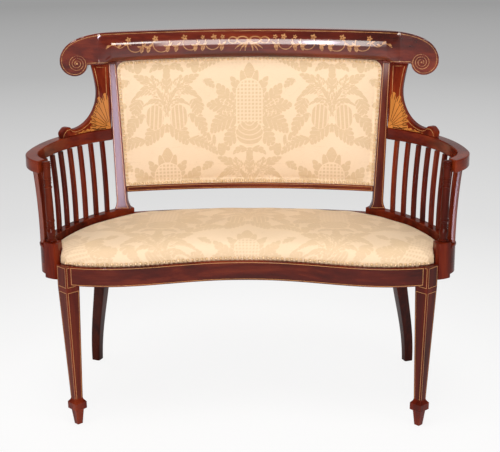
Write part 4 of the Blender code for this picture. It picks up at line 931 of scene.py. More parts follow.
def smoothCurve(points, count):
    # Smooth curve through the points: a cubic blend of four neighbours at each place
    p = np.asarray(points, float)
    p = np.concatenate([[2 * p[0] - p[1]], p, [2 * p[-1] - p[-2]]])
    spans = len(p) - 3
    t = np.linspace(0, spans, count)
    k = np.minimum(t.astype(int), spans - 1)
    f = (t - k)[:, None]
    a, b, c, d = p[k], p[k + 1], p[k + 2], p[k + 3]
    return 0.5 * (2 * b + (c - a) * f + (2 * a - 5 * b + 4 * c - d) * f ** 2
                  + (3 * b - a - 3 * c + d) * f ** 3)


wing = {"thick": 0.016, "dip": 0.013, "arc": 0.096, "dipLength": 0.136, "length": 0.1855,
        "topLength": 0.043, "earLength": 0.024, "earHigh": 0.007, "round": 0.0016, "setBack": 0.009,
        "stringIn": 0.0062, "halfString": 0.00065, "shellHigh": 0.088, "shellWide": 0.060, "lobes": 7}
armInside = plan["armOut"] - plan["armWide"] / 2


def wingFoot(length):  # just clear of the arm's top, along its inner edge
    return armTop(turnAfter(length, armInside) + 2) + plan["clear"]


def wingPlace(length, z):
    # Blend by height of the arm's inner edge below and the back's own curve above
    lowX, lowY = armPoint(turnAfter(length, armInside), armInside)
    highX = plan["postTopX"] + plan["postHigh"] / 2 + length
    highY = backY(highX, plan["crestEnd"]) - wing["setBack"]
    share = np.clip((z - plan["armTop"]) / (plan["crestEnd"] - plan["armTop"]), 0, 1)
    return lowX + (highX - lowX) * share, lowY + (highY - lowY) * share


def wingStart(z):
    # How far along the wing the post's outer face lies, found on a row of samples for each height
    tries, z = np.linspace(-0.01, 0.06, 281), np.asarray(z)[:, None]
    return tries[np.argmax(wingPlace(tries, z)[0] >= postOuter(z), axis=1)]


def wingOutline():
    # Ear at the front, dip behind it, then the hollow quarter circle up to the crest
    dip = float(wingFoot(wing["dipLength"])) + wing["dip"]
    back = wing["dipLength"] + 0.012
    long, high = wing["earLength"], wing["earHigh"]
    ear = smoothCurve([(wing["length"], float(wingFoot(wing["length"])) + 0.001),
                       (wing["length"] - 0.0035, dip - 0.004), (back + long * 0.75, dip + high * 0.7),
                       (back + long * 0.4, dip + high), (back, dip + high * 0.9),
                       (back - 0.004, dip + high * 0.35), (wing["dipLength"], dip)], 60)[:-1]
    angle = np.radians(np.linspace(0, 90, 90))
    sweep = np.stack([wing["dipLength"] - wing["arc"] * np.sin(angle),
                      dip + wing["arc"] - wing["arc"] * np.cos(angle)], -1)
    t = np.linspace(0, 1, 34)[1:]
    top = plan["crestEnd"] - plan["clear"]
    waist = sweep[-1]
    rise = np.stack([waist[0] + (wing["topLength"] - waist[0]) * t ** 2,
                     waist[1] + (top - waist[1]) * t], -1)
    step = np.concatenate([np.linspace(0, 8, 90), 8 + 3 * t])
    return ear, np.concatenate([sweep, rise]), step


def buildWings():
    # Rows from the arm or the post out to the outline, laid on the blended surface
    ear, sweep, step = wingOutline()
    top = plan["crestEnd"] - plan["clear"]
    edge = np.concatenate([ear, sweep])
    startS = np.concatenate([ear[:, 0], wing["dipLength"] * np.clip(1 - step / 5, 0, 1)])
    low = float(wingFoot(0.0))
    climb = low + (top - low) * np.clip((step - 5) / 6, 0, 1)
    onPost = startS <= 0
    startZ = np.where(onPost, np.concatenate([ear[:, 1], climb]), wingFoot(startS))
    startS = np.where(onPost, wingStart(startZ), np.maximum(startS, wingStart(startZ)))
    run = np.hypot(edge[:, 0] - startS, edge[:, 1] - startZ)
    r = np.minimum(wing["round"], run * 0.3)[:, None]
    tail = np.array([1.0, 0.7, 0.42, 0.2, 0.06, 0.0])[None, :] * r / run[:, None]
    body = np.linspace(0, 1, 56)[None, :] * (1 - r / run[:, None])
    share = np.concatenate([body[:, :-1], 1 - tail], 1)
    s = startS[:, None] + (edge[:, 0] - startS)[:, None] * share
    z = startZ[:, None] + (edge[:, 1] - startZ)[:, None] * share
    away = (1 - share) * run[:, None]
    x, y = wingPlace(s, z)
    (x1, y1), (x2, y2) = wingPlace(s - 0.002, z), wingPlace(s + 0.002, z)
    length = np.hypot(x2 - x1, y2 - y1)
    nx, ny = -(y2 - y1) / length, (x2 - x1) / length
    eased = roundOver(away, r)
    front = np.stack([x + nx * eased, y + ny * eased, z], -1)
    rear = np.stack([x + nx * wing["thick"], y + ny * wing["thick"], z], -1)[:, [-1, 40, 20, 0]]
    rear[:, -1, 0] = np.where(onPost, postOuter(startZ), rear[:, -1, 0])
    rear[..., 0] = np.maximum(rear[..., 0], postOuter(rear[..., 2]))
    light, satin, dark = wingInlay(s, z, away, low, top)
    values = onFront({"inlayLight": light, "inlaySatin": satin, "inlayDark": dark}, rear)
    addPair("wing", "wing", np.concatenate([front, rear], 1), woodWing, values)


def wingInlay(s, z, away, low, top):
    # A border string, a fan whose rim is scalloped by angle, and a tapering band along the arm
    fromPost = s - np.interp(z, [low, top], wingStart(np.array([low, top])))
    fromTop = top - z
    inset, half = wing["stringIn"], wing["halfString"]
    shellTop = low + wing["shellHigh"]
    border = np.where(fromTop > inset, np.abs(away - inset), 1)
    across = np.where((away > inset) & (fromPost > inset), np.abs(fromTop - inset), 1)
    upright = np.where((fromTop > inset) & (z > shellTop), np.abs(fromPost - inset), 1)
    light = half - np.minimum(np.minimum(border, across), upright)
    dx, dz = fromPost - 0.002, z - (low + 0.003)
    angle = np.arctan2(dz, dx)
    reach = np.hypot(dx, dz)
    rim = 1 / np.sqrt((np.cos(angle) / wing["shellWide"]) ** 2 + (np.sin(angle) / wing["shellHigh"]) ** 2)
    lobe = np.clip(angle / (math.pi / 2), 0, 1) * wing["lobes"]
    fromMiddle = np.abs(lobe - np.floor(lobe) - 0.5) * 2
    shell = np.where((dx > 0) & (dz > -0.002), rim * (1 - 0.20 * fromMiddle ** 2.5) - reach, -1)
    foot = wingFoot(s)
    band = 0.0125 * np.clip(1 - (s - 0.02) / 0.125, 0, 1) ** 0.7 * (1 + 0.22 * np.sin(s * 420))
    strip = np.where((s > 0.02) & (s < 0.145), np.minimum(band - (z - foot), (z - foot) - 0.0012), -1)
    satin = np.maximum(shell, strip)
    gap = (1 - fromMiddle) / 2 / wing["lobes"] * (math.pi / 2) * reach
    ribs = np.where((shell > 0) & (reach > 0.012), 0.0007 - gap, -1)
    burnt = 0.0009 - np.abs(fromMiddle - 0.45) * reach * 0.12
    burnt = np.where((shell > 0) & (shell < 0.016), burnt, -1)
    marks = np.where(strip > 0, 0.0006 - np.abs(z - foot - band * (0.45 + 0.3 * np.sin(s * 260))), -1)
    return light, satin, np.maximum(np.maximum(ribs, marks), burnt)


buildWings()
print("wings built")

# Damask, drawn as distances on the cloth's own metres

# paintedShade and paintedShadeMost: the darker tone and how far noise patches reach it, painted shade on
# the cloth
damask = {"across": 0.215, "ground": (0.875, 0.665, 0.445), "figure": (0.69, 0.495, 0.280),
          "line": (0.90, 0.705, 0.49), "paintedShade": (0.60, 0.46, 0.26), "paintedShadeMost": 0.16, "edge": 0.0007,
          "seam": 0.0016, "threads": 4200.0, "roughness": 0.62, "sheen": 0.2, "sheenRoughness": 0.4,
          "specular": 0.3}


def frond(u, v, base, tip, bend, half, fingers):
    # Bent leaf whose blade is parted by forward-sloping seams; each finger rounds off the edge
    t, n, length = leafAxes(u, v, base, tip, bend)
    width = half * np.sin(math.pi * np.clip(t, 0, 1) ** 0.75) ** 0.55
    value = width - n
    if fingers:
        phase = (t - 0.9 * n / length) * fingers
        tooth = phase - np.floor(phase)
        value = width * (0.72 + 0.28 * np.sin(math.pi * tooth)) - n
        seam = np.minimum(tooth, 1 - tooth) * length / fingers - damask["seam"] * 0.5
        value = np.where(n > damask["seam"], np.minimum(value, seam), value)
    return cutEnds(t, length, value)


def joinLeaves(u, v, leaves):
    # Leaves laid over one another, with a thin seam of ground where two of them meet
    best = np.full(u.shape, -0.02)
    second = best.copy()
    for leaf in leaves:
        value = frond(u, v, *leaf)
        second = np.maximum(second, np.minimum(best, value))
        best = np.maximum(best, value)
    return np.where(second > 0, np.minimum(best, best - second - damask["seam"]), best)


# Each leaf: its base, its tip, how far it bends, half its width and its number of fingers
medallionLeaves = [((0.0, 0.078), (0.0, 0.124), 0.0, 0.0150, 0),
                   ((0.006, 0.040), (0.021, 0.105), 0.004, 0.0140, 0),
                   ((0.022, 0.020), (0.048, 0.090), 0.006, 0.0160, 4),
                   ((0.026, 0.004), (0.084, 0.072), -0.005, 0.0220, 5),
                   ((0.026, 0.000), (0.112, 0.018), 0.005, 0.0250, 6),
                   ((0.026, -0.016), (0.102, -0.054), 0.012, 0.0270, 6),
                   ((0.020, -0.046), (0.064, -0.092), 0.006, 0.0220, 4),
                   ((0.0, -0.094), (0.0, -0.128), 0.0, 0.0090, 0),
                   ((0.004, -0.100), (0.044, -0.112), 0.008, 0.0100, 3),
                   ((0.052, -0.100), (0.082, -0.088), 0.004, 0.0080, 0)]
fountainLeaves = [((0.0, 0.050), (0.0, 0.112), 0.0, 0.0130, 4),
                  ((0.002, 0.000), (0.092, 0.030), 0.052, 0.0240, 9),
                  ((0.002, -0.010), (0.062, 0.016), 0.032, 0.0140, 6),
                  ((0.000, 0.020), (0.038, 0.096), -0.006, 0.0170, 6),
                  ((0.004, 0.030), (0.084, 0.096), 0.010, 0.0170, 7),
                  ((0.070, 0.034), (0.078, -0.012), 0.006, 0.0190, 4),
                  ((0.058, -0.004), (0.098, -0.066), 0.012, 0.0170, 5),
                  ((0.004, -0.034), (0.054, -0.084), 0.008, 0.0230, 5),
                  ((0.054, -0.072), (0.132, -0.112), 0.012, 0.0160, 7),
                  ((0.106, -0.054), (0.110, -0.098), 0.001, 0.0060, 0),
                  ((0.122, -0.060), (0.120, -0.094), 0.001, 0.0050, 0),
                  ((0.096, 0.082), (0.124, 0.062), 0.003, 0.0110, 3),
                  ((0.072, 0.100), (0.080, 0.132), 0.002, 0.0100, 0)]


def medallion(u, v):
    # A trellised core over a ribbed bowl, ringed with parted leaves
    a = np.abs(u)
    shape = joinLeaves(a, v, medallionLeaves)
    core = 0.034 - np.hypot(a, np.maximum(np.abs(v - 0.010) - 0.036, 0) * 0.9)
    trellis = np.maximum(np.abs(np.sin(a * 330)), np.abs(np.sin(v * 330))) * 0.004 - 0.0032
    bowl = 0.036 - np.hypot(a, (v + 0.056) * 1.05)
    arcs = np.abs(np.sin(np.hypot(a, v + 0.024) * 250)) * 0.003 - 0.0008
    shape = np.where(core > -0.0016, np.where(core > 0.0012, -trellis, -0.001), shape)
    return np.where((bowl > -0.0016) & (v < -0.028), np.where(bowl > 0.0012, arcs, -0.001), shape)


def fountain(u, v):
    # Plumes that arch up and out from a stem over two hung fringes, with leaves below
    a = np.abs(u)
    shape = joinLeaves(a, v, fountainLeaves)
    inside = 0.024 - np.hypot((a - 0.031) * 1.05, (v + 0.012) * 0.75)
    fringe = np.minimum(np.abs(np.sin(a * 300 + v * 20)) * 0.003 - 0.0010, inside)
    return np.maximum(np.where(inside > -0.0012, fringe, shape), rosette(a, v, (0.0, -0.034), 0.0060, 5))


def damaskFigure(u, v):
    # Medallions and fountains on alternate places of one lattice
    step = damask["across"]
    shape = np.full(u.shape, -0.004)
    for i in range(math.floor(u.min() / step) - 1, math.ceil(u.max() / step) + 2):
        for j in range(math.floor(v.min() / step) - 1, math.ceil(v.max() / step) + 2):
            motif = medallion if (i + j) % 2 == 0 else fountain
            du, dv = u - i * step, v - j * step
            near = (np.abs(du) < 0.145) & (np.abs(dv) < 0.142)
            if near.any():
                shape[near] = np.maximum(shape[near], motif(du[near], dv[near]))
    return shape


def makeWeave():
    # Fine ribs across the cloth in the ground and a finer twill in the figure, as heights
    tree, given = startGroup("clothWeave", [("Cloth", 'NodeSocketVector', None),
                                            ("Threads", 'NodeSocketFloat', 1400.0)])
    u, v, _ = addSplit(tree, given[0])
    ribs = addMath(tree, 'SINE', addMath(tree, 'MULTIPLY', v, given[1]))
    diagonal = addMath(tree, 'MULTIPLY_ADD', u, 1.3, v)
    twill = addMath(tree, 'SINE', addMath(tree, 'MULTIPLY', diagonal, given[1]))
    slub = addNoise(tree, addMapping(tree, given[0], (14.0, 220.0, 1.0)), 6.0, 3.0, 0.6)
    return endGroup(tree, {"Ribs": ribs, "Twill": twill, "Slub": slub})


clothWeave = makeWeave()


def clothPlace(tree):  # the piece's own map, in metres of cloth
    return addNode(tree, 'ShaderNodeUVMap', {}, uv_map="cloth").outputs[0]


def makeDamask(name, strength):
    # Satin figure on a ribbed ground, told apart by colour, gloss and the run of the threads
    material, tree, shader, place = startMaterial(name)
    weave = useGroup(tree, clothWeave, {"Cloth": clothPlace(tree), "Threads": damask["threads"]})
    mask = addRange(tree, addAttribute(tree, "figure"), -damask["edge"], damask["edge"], 0, 1)
    slub = addRange(tree, weave["Slub"], 0.3, 0.7, 0, 1)
    ground = addMix(tree, slub, damask["ground"], damask["line"])
    # A strength below 1 brings the figure towards the ground: the seat's copy is painted paler to stand in
    # for how the satin reflects at its low angle
    satin = np.array(damask["ground"]) + strength * np.subtract(damask["figure"], damask["ground"])
    figure = addMix(tree, slub, tuple(satin), tuple(0.5 * (satin + damask["ground"])))
    # Soft noise patches that darken the cloth towards a duller tone: painted shade
    paintedShadeNoise = addRange(tree, addNoise(tree, place, 7.0, 3.0), 0.3, 0.7, 0.0, damask["paintedShadeMost"])
    threads = addNode(tree, 'ShaderNodeMix', {0: mask, 2: weave["Ribs"], 3: weave["Twill"]}).outputs[0]
    rough = damask["roughness"]
    setSockets(tree, shader, {
        "Base Color": addMix(tree, paintedShadeNoise, addMix(tree, mask, ground, figure), damask["paintedShade"]),
        "Roughness": addRange(tree, mask, 0, 1, rough + 0.12, rough - 0.08),
        "Sheen Weight": damask["sheen"], "Sheen Roughness": damask["sheenRoughness"],
        "Specular IOR Level": damask["specular"],
        "Normal": addBump(tree, mask, 0.35, 0.0003, {"Normal": addBump(tree, threads, 0.25, 0.0002)})})
    return material


hessian = {"light": (0.40, 0.29, 0.17), "dark": (0.16, 0.10, 0.055), "threads": 3200.0,
           "roughness": 0.85}


def makeHessian():
    # Open plain weave: warp and weft ribs crossing
    material, tree, shader = startMaterial("coarseHessian")[:3]
    cloth = clothPlace(tree)
    weave = useGroup(tree, clothWeave, {"Cloth": cloth, "Threads": hessian["threads"]})
    warp = addMath(tree, 'SINE', addMath(tree, 'MULTIPLY', addSplit(tree, cloth)[0], hessian["threads"]))
    crossing = addMath(tree, 'MULTIPLY', warp, weave["Ribs"])
    tone = addMath(tree, 'MULTIPLY_ADD', crossing, 0.3, weave["Slub"])
    setSockets(tree, shader, {
        "Base Color": addMix(tree, addRange(tree, tone, 0.2, 0.9, 0, 1),
                             hessian["dark"], hessian["light"]),
        "Roughness": hessian["roughness"], "Normal": addBump(tree, tone, 0.5, 0.0006)})
    return material


webbing = {"light": (0.52, 0.42, 0.28), "dark": (0.36, 0.27, 0.16), "stripe": (0.07, 0.05, 0.04),
           "stripeAt": 0.012, "halfStripe": 0.0022, "bone": 0.005, "threads": 2400.0, "roughness": 0.8}


def makeWebbing():
    # Herringbone strap with two darker stripes, on the strap's own map
    material, tree, shader = startMaterial("wovenWebbing")[:3]
    across, along, _ = addSplit(tree, clothPlace(tree))
    side = addMath(tree, 'ABSOLUTE', across)
    zigzag = addMath(tree, 'PINGPONG', side, webbing["bone"])
    slope = addMath(tree, 'MULTIPLY', along, webbing["threads"])
    bone = addMath(tree, 'SINE', addMath(tree, 'MULTIPLY_ADD', zigzag, webbing["threads"], slope))
    away = addMath(tree, 'ABSOLUTE', addMath(tree, 'SUBTRACT', side, webbing["stripeAt"]))
    plain = addMix(tree, addRange(tree, bone, -1, 1, 0, 1), webbing["dark"], webbing["light"])
    stripe = addMath(tree, 'LESS_THAN', away, webbing["halfStripe"])
    setSockets(tree, shader, {
        "Base Color": addMix(tree, stripe, plain, webbing["stripe"]),
        "Roughness": webbing["roughness"], "Normal": addBump(tree, bone, 0.4, 0.0004)})
    return material


metals = {
    "agedBrass": {"dull": (0.72, 0.50, 0.25), "bright": (0.93, 0.70, 0.44), "metallic": 0.6,
                  "patch": 160.0, "tone": (0.35, 0.65), "roughness": (0.48, 0.34), "relief": 0.0002},
    "dullSteel": {"dull": (0.30, 0.29, 0.28), "bright": (0.56, 0.55, 0.53), "metallic": 1.0,
                  "patch": 420.0, "tone": (0.0, 1.0), "roughness": (0.3, 0.5), "relief": 0.0001},
}


def makeMetal(name):
    # Dull and bright patches of noise, each with its own colour and gloss
    material, tree, shader, place = startMaterial(name)
    facts = metals[name]
    patch = addNoise(tree, place, facts["patch"], 3.0)
    tone = addRange(tree, patch, *facts["tone"], 0, 1)
    setSockets(tree, shader, {
        "Base Color": addMix(tree, tone, facts["dull"], facts["bright"]), "Metallic": facts["metallic"],
        "Roughness": addRange(tree, patch, 0.3, 0.7, *facts["roughness"]),
        "Normal": addBump(tree, patch, 0.1, facts["relief"])})
    return material


beech = {"pale": (0.62, 0.41, 0.22), "deep": (0.46, 0.27, 0.13), "fleck": (0.25, 0.12, 0.05),
         "roughness": 0.6}


def makeBeech():
    # Pale planed wood with short dark flecks
    material, tree, shader, place = startMaterial("planedBeech")
    figure = useGroup(tree, woodFigure, {"Grain": addMapping(tree, place, (0.15, 1.0, 1.0))})
    fleck = addNoise(tree, addMapping(tree, place, (1.0, 5.0, 5.0)), 180.0, 2.0)
    colour = addMix(tree, addRange(tree, figure["Tone"], 0.4, 0.7, 0, 1), beech["deep"], beech["pale"])
    setSockets(tree, shader, {
        "Base Color": addMix(tree, addRange(tree, fleck, 0.60, 0.68, 0, 0.5), colour, beech["fleck"]),
        "Roughness": beech["roughness"], "Normal": addBump(tree, figure["Pores"], 0.15, 0.0004)})
    return material


# The seat's copy has its figure weakened: painted sheen of the satin at the seat's low angle
creamDamask, seatDamaskPaintedSheen = makeDamask("creamDamask", 1.0), makeDamask("seatDamaskPaintedSheen", 0.68)
hessianCloth, webbingCloth = makeHessian(), makeWebbing()
agedBrass, dullSteel = makeMetal("agedBrass"), makeMetal("dullSteel")
planedBeech = makeBeech()
print("cloth and metal materials made")

# Seat upholstery

seat = {"crownTop": 0.479, "edgeTop": 0.446, "web": 0.0015, "cloth": 0.001, "around": 840, "rings": 116,
        "nail": 0.0040, "dome": 0.0028, "pitch": 0.0114, "pucker": 0.0006, "webWide": 0.050,
        "joinX": 0.3124, "backThick": 0.026, "blockFrom": -40.5, "blockTo": -85.0}


def backRailY(x):  # parabola of the back rail's middle line
    joinY = float(galleryPoint(turnAtX(seat["joinX"], -plan["sideThick"] / 2), -plan["sideThick"] / 2)[1])
    sag = plan["sag"] * (seat["joinX"] / plan["postX"]) ** 2
    return joinY + sag * (1 - (x / seat["joinX"]) ** 2)


def seatLoop(count):
    # Outline of the pad: the wave in front, the leg's corner, the inside of the rails behind
    inward = plan["ledge"] + plan["clear"]
    reach = plan["legX"] + 0.006
    fx, fy = frontPoint(np.linspace(0, reach, 200), inward)
    half = plan["legSize"] / 2
    side, back = half - plan["ledge"] - plan["clear"], half - plan["clear"]
    root = math.sqrt(0.5)
    corner = (plan["legX"] + (side + back) * root, plan["legY"] + (back - side) * root)
    inner = -plan["sideThick"] - plan["clear"]
    last = turnAtX(seat["joinX"] + 0.002, inner)
    gx, gy = galleryPoint(np.concatenate([np.linspace(-35, 8, 30), np.linspace(8.5, last, 120)]), inner)
    bx = (seat["joinX"] - 0.003) * np.linspace(1, 0, 120)
    by = backRailY(bx) - seat["backThick"] / 2 - plan["clear"]
    loop = np.stack([np.concatenate([fx, [corner[0]], gx, bx]),
                     np.concatenate([fy, [corner[1]], gy, by])], -1)
    loop = np.concatenate([loop, loop[-2:0:-1] * (-1, 1), loop[:1]])
    run = runAlong(loop)
    at = np.linspace(0, run[-1], count, endpoint=False)
    return np.interp(at, run, loop[:, 0]), np.interp(at, run, loop[:, 1])


def clearOfFrame(x, y, z, lift):
    # Points inside a front leg's square rise over its top, and those in an arm block move out of it
    ax = np.abs(x)
    dx, dy = ax - plan["legX"], y - plan["legY"]
    half = plan["legSize"] / 2 + 0.0012
    across = np.maximum(np.abs(dx + dy), np.abs(dx - dy)) * math.sqrt(0.5)
    z = np.where((across < half) & (z < plan["railTop"] + lift), plan["railTop"] + lift, z)
    cx, cy = ax - cornerX, y - cornerY
    turn = np.degrees(np.arctan2(cy, cx))
    reach = np.hypot(cx, cy)
    inner = plan["cornerRadius"] - plan["blockWide"] - 3 * plan["clear"]
    beside = (turn < seat["blockFrom"]) & (turn > seat["blockTo"]) & (reach < 0.09)
    blocked = beside & (reach > inner) & (z < plan["blockTop"])
    pull = np.where(blocked, inner / np.maximum(reach, 1e-6), 1.0)
    return np.sign(x) * (cornerX + cx * pull), cornerY + cy * pull, z


def buildSeatPad():
    # Rings of the outline shrunk towards the middle while they climb a padded profile
    loopX, loopY = seatLoop(seat["around"])
    middle = (loopY[0] + loopY.max()) / 2
    bottom = seat["web"] + seatLevel + seat["cloth"] + 3 * plan["clear"]
    edge, crown = seat["edgeTop"] - bottom, seat["crownTop"] - seat["edgeTop"]
    profile = smoothCurve([(0.988, bottom), (0.9965, bottom + edge * 0.10), (1.0, bottom + edge * 0.32),
                           (0.993, bottom + edge * 0.66), (0.969, seat["edgeTop"]),
                           (0.92, seat["edgeTop"] + crown * 0.34), (0.80, seat["edgeTop"] + crown * 0.64),
                           (0.60, seat["edgeTop"] + crown * 0.86), (0.32, seat["edgeTop"] + crown * 0.98),
                           (0.02, seat["crownTop"])], 900)
    run = runAlong(profile * (0.24, 1.0))
    at = np.linspace(0, run[-1], seat["rings"])
    scale = np.interp(at, run, profile[:, 0])[:, None]
    z = np.interp(at, run, profile[:, 1])[:, None] * np.ones((1, len(loopX)))
    x, y = loopX[None] * scale, middle + (loopY[None] - middle) * scale
    puff = 0.0009 * (np.sin(x * 31 + 1.3) * np.sin(y * 37 + 0.4) + 0.6 * np.sin(x * 57 - y * 43))
    z = z + puff * np.clip((1 - scale) / 0.12, 0, 1)
    isFront = (loopY < frontY(loopX) + 0.03)[None] & (np.abs(loopX) < 0.42)[None]
    walk = runAlong(np.stack([loopX, loopY], -1))
    low = np.clip(1 - np.abs(z - plan["railTop"] - seat["nail"]) / 0.014, 0, 1) ** 2
    y = y + np.where(isFront, low * (seat["pucker"] * np.cos(walk / seat["pitch"] * math.tau) + 0.0008), 0)
    x, y, z = clearOfFrame(x, y, z, 0.0008)
    flat = np.hypot(x, y - middle) + 1e-6
    drop = np.clip(seat["edgeTop"] + 0.02 - z, 0, 1)
    u, v = x + x / flat * drop, y + (y - middle) / flat * drop
    uv = np.concatenate([np.stack([u, v], -1).reshape(-1, 2), [[0, middle], [0, middle]]])
    pad = addTube("seatPad", "seat_pad", np.stack([x, y, z], -1), seatDamaskPaintedSheen,
                  {"figure": damaskFigure(u - damask["across"], v - middle + 0.016)}, "cream_damask",
                  uv=uv, sharp=70)


def nailRow(name, node, spots, faces):
    # One small dome repeated: rings of a rounded cap turned to each nail's own direction
    around, levels = 10, ((0.5, 0.88), (0.86, 0.55), (1.0, 0.10), (1.0, -0.12))
    angle = np.linspace(0, math.tau, around, endpoint=False)
    local = [(0.0, 0.0, 1.0)]
    for radius, rise in levels:
        local += [(radius * math.cos(a), radius * math.sin(a), rise) for a in angle]
    local = np.array(local + [(0.0, 0.0, -0.12)]) * (seat["nail"], seat["nail"], seat["dome"])
    quads = gridQuads(len(levels), around) + 1
    last = len(local) - 1
    base = last - around
    fan = [[0, 1 + k, 1 + (k + 1) % around] for k in range(around)]
    fan += [[last, base + (k + 1) % around, base + k] for k in range(around)]
    out = faces / np.linalg.norm(faces, axis=1)[:, None]
    side = np.cross(out, (0.13, 0.21, 0.97))
    side /= np.linalg.norm(side, axis=1)[:, None]
    axes = np.stack([side, np.cross(out, side), out], 1)
    points = spots[:, None] + local @ axes
    shift = (np.arange(len(points)) * len(local))[:, None, None]
    allFaces = (quads + shift).reshape(-1, 4).tolist() + (np.array(fan) + shift).reshape(-1, 3).tolist()
    addPiece(name, node, points, allFaces, agedBrass, "brass_nails", sharp=60)


def evenSpots(line, pitch, closed=False):
    # Places at one pitch along a line of points
    run = runAlong(line)
    at = np.linspace(0, run[-1], max(1, round(run[-1] / pitch)) + 1)
    at = at[:-1] if closed else at
    return np.stack([np.interp(at, run, line[:, k]) for k in range(line.shape[1])], -1)


def buildSeatNails():
    # Evenly along the ledge of the front rail, each facing away from the wave
    x, y = frontPoint(np.linspace(-1, 1, 800) * (plan["legX"] + 0.006), plan["ledge"] - plan["clear"])
    z = np.full_like(x, plan["railTop"] + seat["nail"] + 2 * plan["clear"])
    spots = evenSpots(np.stack([x, y, z], -1), seat["pitch"])
    step = 0.001
    slope = (frontY(spots[:, 0] + step) - frontY(spots[:, 0] - step)) / (2 * step)
    faces = np.stack([slope, -np.ones_like(slope), np.zeros_like(slope)], -1)
    nailRow("seatNails", "seat_nails", spots, faces)


buildSeatPad()
buildSeatNails()
print("seat upholstered")

# Back upholstery

back = {"lowTop": 0.529, "corner": 0.022, "edge": 0.012, "crown": 0.014, "rear": 0.003, "pitch": 0.0104,
        "columns": 441, "rows": 221, "pucker": 0.0006, "centre": 0.719}


def backPlace(u, v, inset):
    # u across from -1 to 1 and v up from 0 to 1, inside the frame, the top corners rounded
    low = back["lowTop"] + plan["clear"] + inset
    wide = postInner(plan["crestEnd"]) - inset
    over = np.clip(np.abs(u) * wide - (wide - back["corner"]), 0, back["corner"])
    corner = back["corner"] - np.sqrt(back["corner"] ** 2 - over ** 2)
    high = openingTop(u * wide) - plan["clear"] - inset - corner - 2 * plan["clear"] * (corner > 0)
    z = low + (high - low) * v
    return u * (postInner(z) - inset), z


def roundRise(t):  # quarter circle from 0 up to 1
    t = np.clip(t, 0, 1)
    return np.sqrt(1 - (1 - t) ** 2)


def panelRings(frontOffset, rearOffset, inset, columns, rows, puffing=None):
    # Columns of the panel, each a closed ring up the front and down the rear
    t = np.linspace(-1, 1, columns)
    u = (t + 0.06 * np.sin(math.pi * t))[:, None]
    s = np.linspace(0, 1, rows)
    v = (s - 0.05 * np.sin(math.tau * s))[None]
    u, v = np.broadcast_arrays(u, v)
    x, z = backPlace(u, v, inset)
    puff = puffing(u, v, x, z) if puffing else 0.0
    front = np.stack([x, backY(x, z) + frontOffset - puff, z], -1)
    rear = np.stack([x, backY(x, z) + rearOffset, z], -1)[:, ::-1][:, ::4]
    return np.concatenate([front, rear], 1), front, rear


def backPuff(u, v, x, z):
    # Quarter-round rise from every edge, dimples between the nails and a slow hand-stuffed wave
    band = 3.8 * seat["nail"]
    side = (1 - np.abs(u)) * plan["postX"] - band
    rise = np.minimum(v, 1 - v) * (plan["crestBottom"] - back["lowTop"]) - band
    swell = (roundRise(side / 0.085) * roundRise(rise / 0.085)) ** 1.6
    wave = 0.0008 * np.sin(x * 29 + 0.7) * np.sin(z * 41 + 1.1) * swell
    fromEdge = np.minimum(side, rise) + band
    fade = np.clip(1 - np.abs(fromEdge - band) / 0.012, 0, 1) ** 2
    beat = np.where(side < rise, z, x)
    return back["crown"] * swell + wave + fade * back["pucker"] * np.cos(beat / back["pitch"] * math.tau)


def panelMap(rings):  # the panel's own width and height, in metres, and a spot for each closing point
    return np.concatenate([rings[..., [0, 2]].reshape(-1, 2), [[0, 0.7], [0, 0.7]]])


def buildBackPad():
    # The panel's grid crowned by backPuff, with the figure on its front only
    rings, front, rear = panelRings(-back["edge"], back["rear"], 0.0, back["columns"], back["rows"],
                                    backPuff)
    figure = np.concatenate([damaskFigure(front[..., 0], front[..., 2] - back["centre"]),
                             np.full(rear.shape[:2], -0.004)], 1)
    pad = addTube("backPad", "back_pad", rings, creamDamask, {"figure": figure}, "cream_damask",
                  uv=panelMap(rings), sharp=60)


def buildBackSheets():
    # The canvas behind the stuffing and the damask that closes the back
    level = back["rear"] + plan["clear"]
    rings, front = panelRings(level, level + seat["cloth"], 0.001, 90, 49)[:2]
    canvas = addTube("backHessian", "back_hessian", rings, hessianCloth, None, "hessian",
                     uv=panelMap(rings), sharp=60)
    level += seat["cloth"] + seat["web"] + 3 * plan["clear"]
    rings, front = panelRings(level, level + seat["cloth"], 0.0, 401, 185)[:2]
    figure = damaskFigure(rings[..., 0], rings[..., 2] - back["centre"])
    cover = addTube("outsideBack", "outside_back", rings, creamDamask, {"figure": figure},
                    "cream_damask", uv=panelMap(rings), sharp=60)


def buildBackNails():
    # Evenly round the edge of the panel, each facing away from the back's curve
    n, step = 400, 0.004
    one, none = np.ones(n), np.zeros(n)
    across, climb = np.linspace(-1, 1, n), np.linspace(0, 1, n)
    u = np.concatenate([-across, -one, across, one])
    v = np.concatenate([none, climb, one, climb[::-1]])
    edge = np.stack(backPlace(u, v, seat["nail"] + 2 * plan["clear"]), -1)
    x, z = evenSpots(edge, back["pitch"], closed=True).T
    y = backY(x, z) - back["edge"] - 1.8 * plan["clear"]
    slope = (backY(x + step, z) - backY(x - step, z)) / (2 * step)
    lean = (backY(x, z + step) - backY(x, z - step)) / (2 * step)
    faces = np.stack([slope, -np.ones_like(x), lean], -1)
    nailRow("backNails", "back_nails", np.stack([x, y, z], -1), faces)


buildBackPad()
buildBackSheets()
buildBackNails()
print("back upholstered")

# Under the seat

under = {"rows": 3, "rowPitch": 0.075, "columns": 7, "inset": 0.003, "weave": 0.0011, "proud": 0.0002,
         "thick": 0.0011, "backRows": (0.22, 0.5, 0.78), "backColumns": (-0.6, -0.2, 0.2, 0.6)}


def strapRings(centre, across, up, halfWide, thick):
    # Flat section of four corners and two middles carried along a strap
    across, up = np.multiply(across, halfWide), np.multiply(up, thick / 2)
    sections = ((-1, -1), (0, -1), (1, -1), (1, 1), (0, 1), (-1, 1))
    return np.stack([centre + across * a + up * b for a, b in sections], 1)


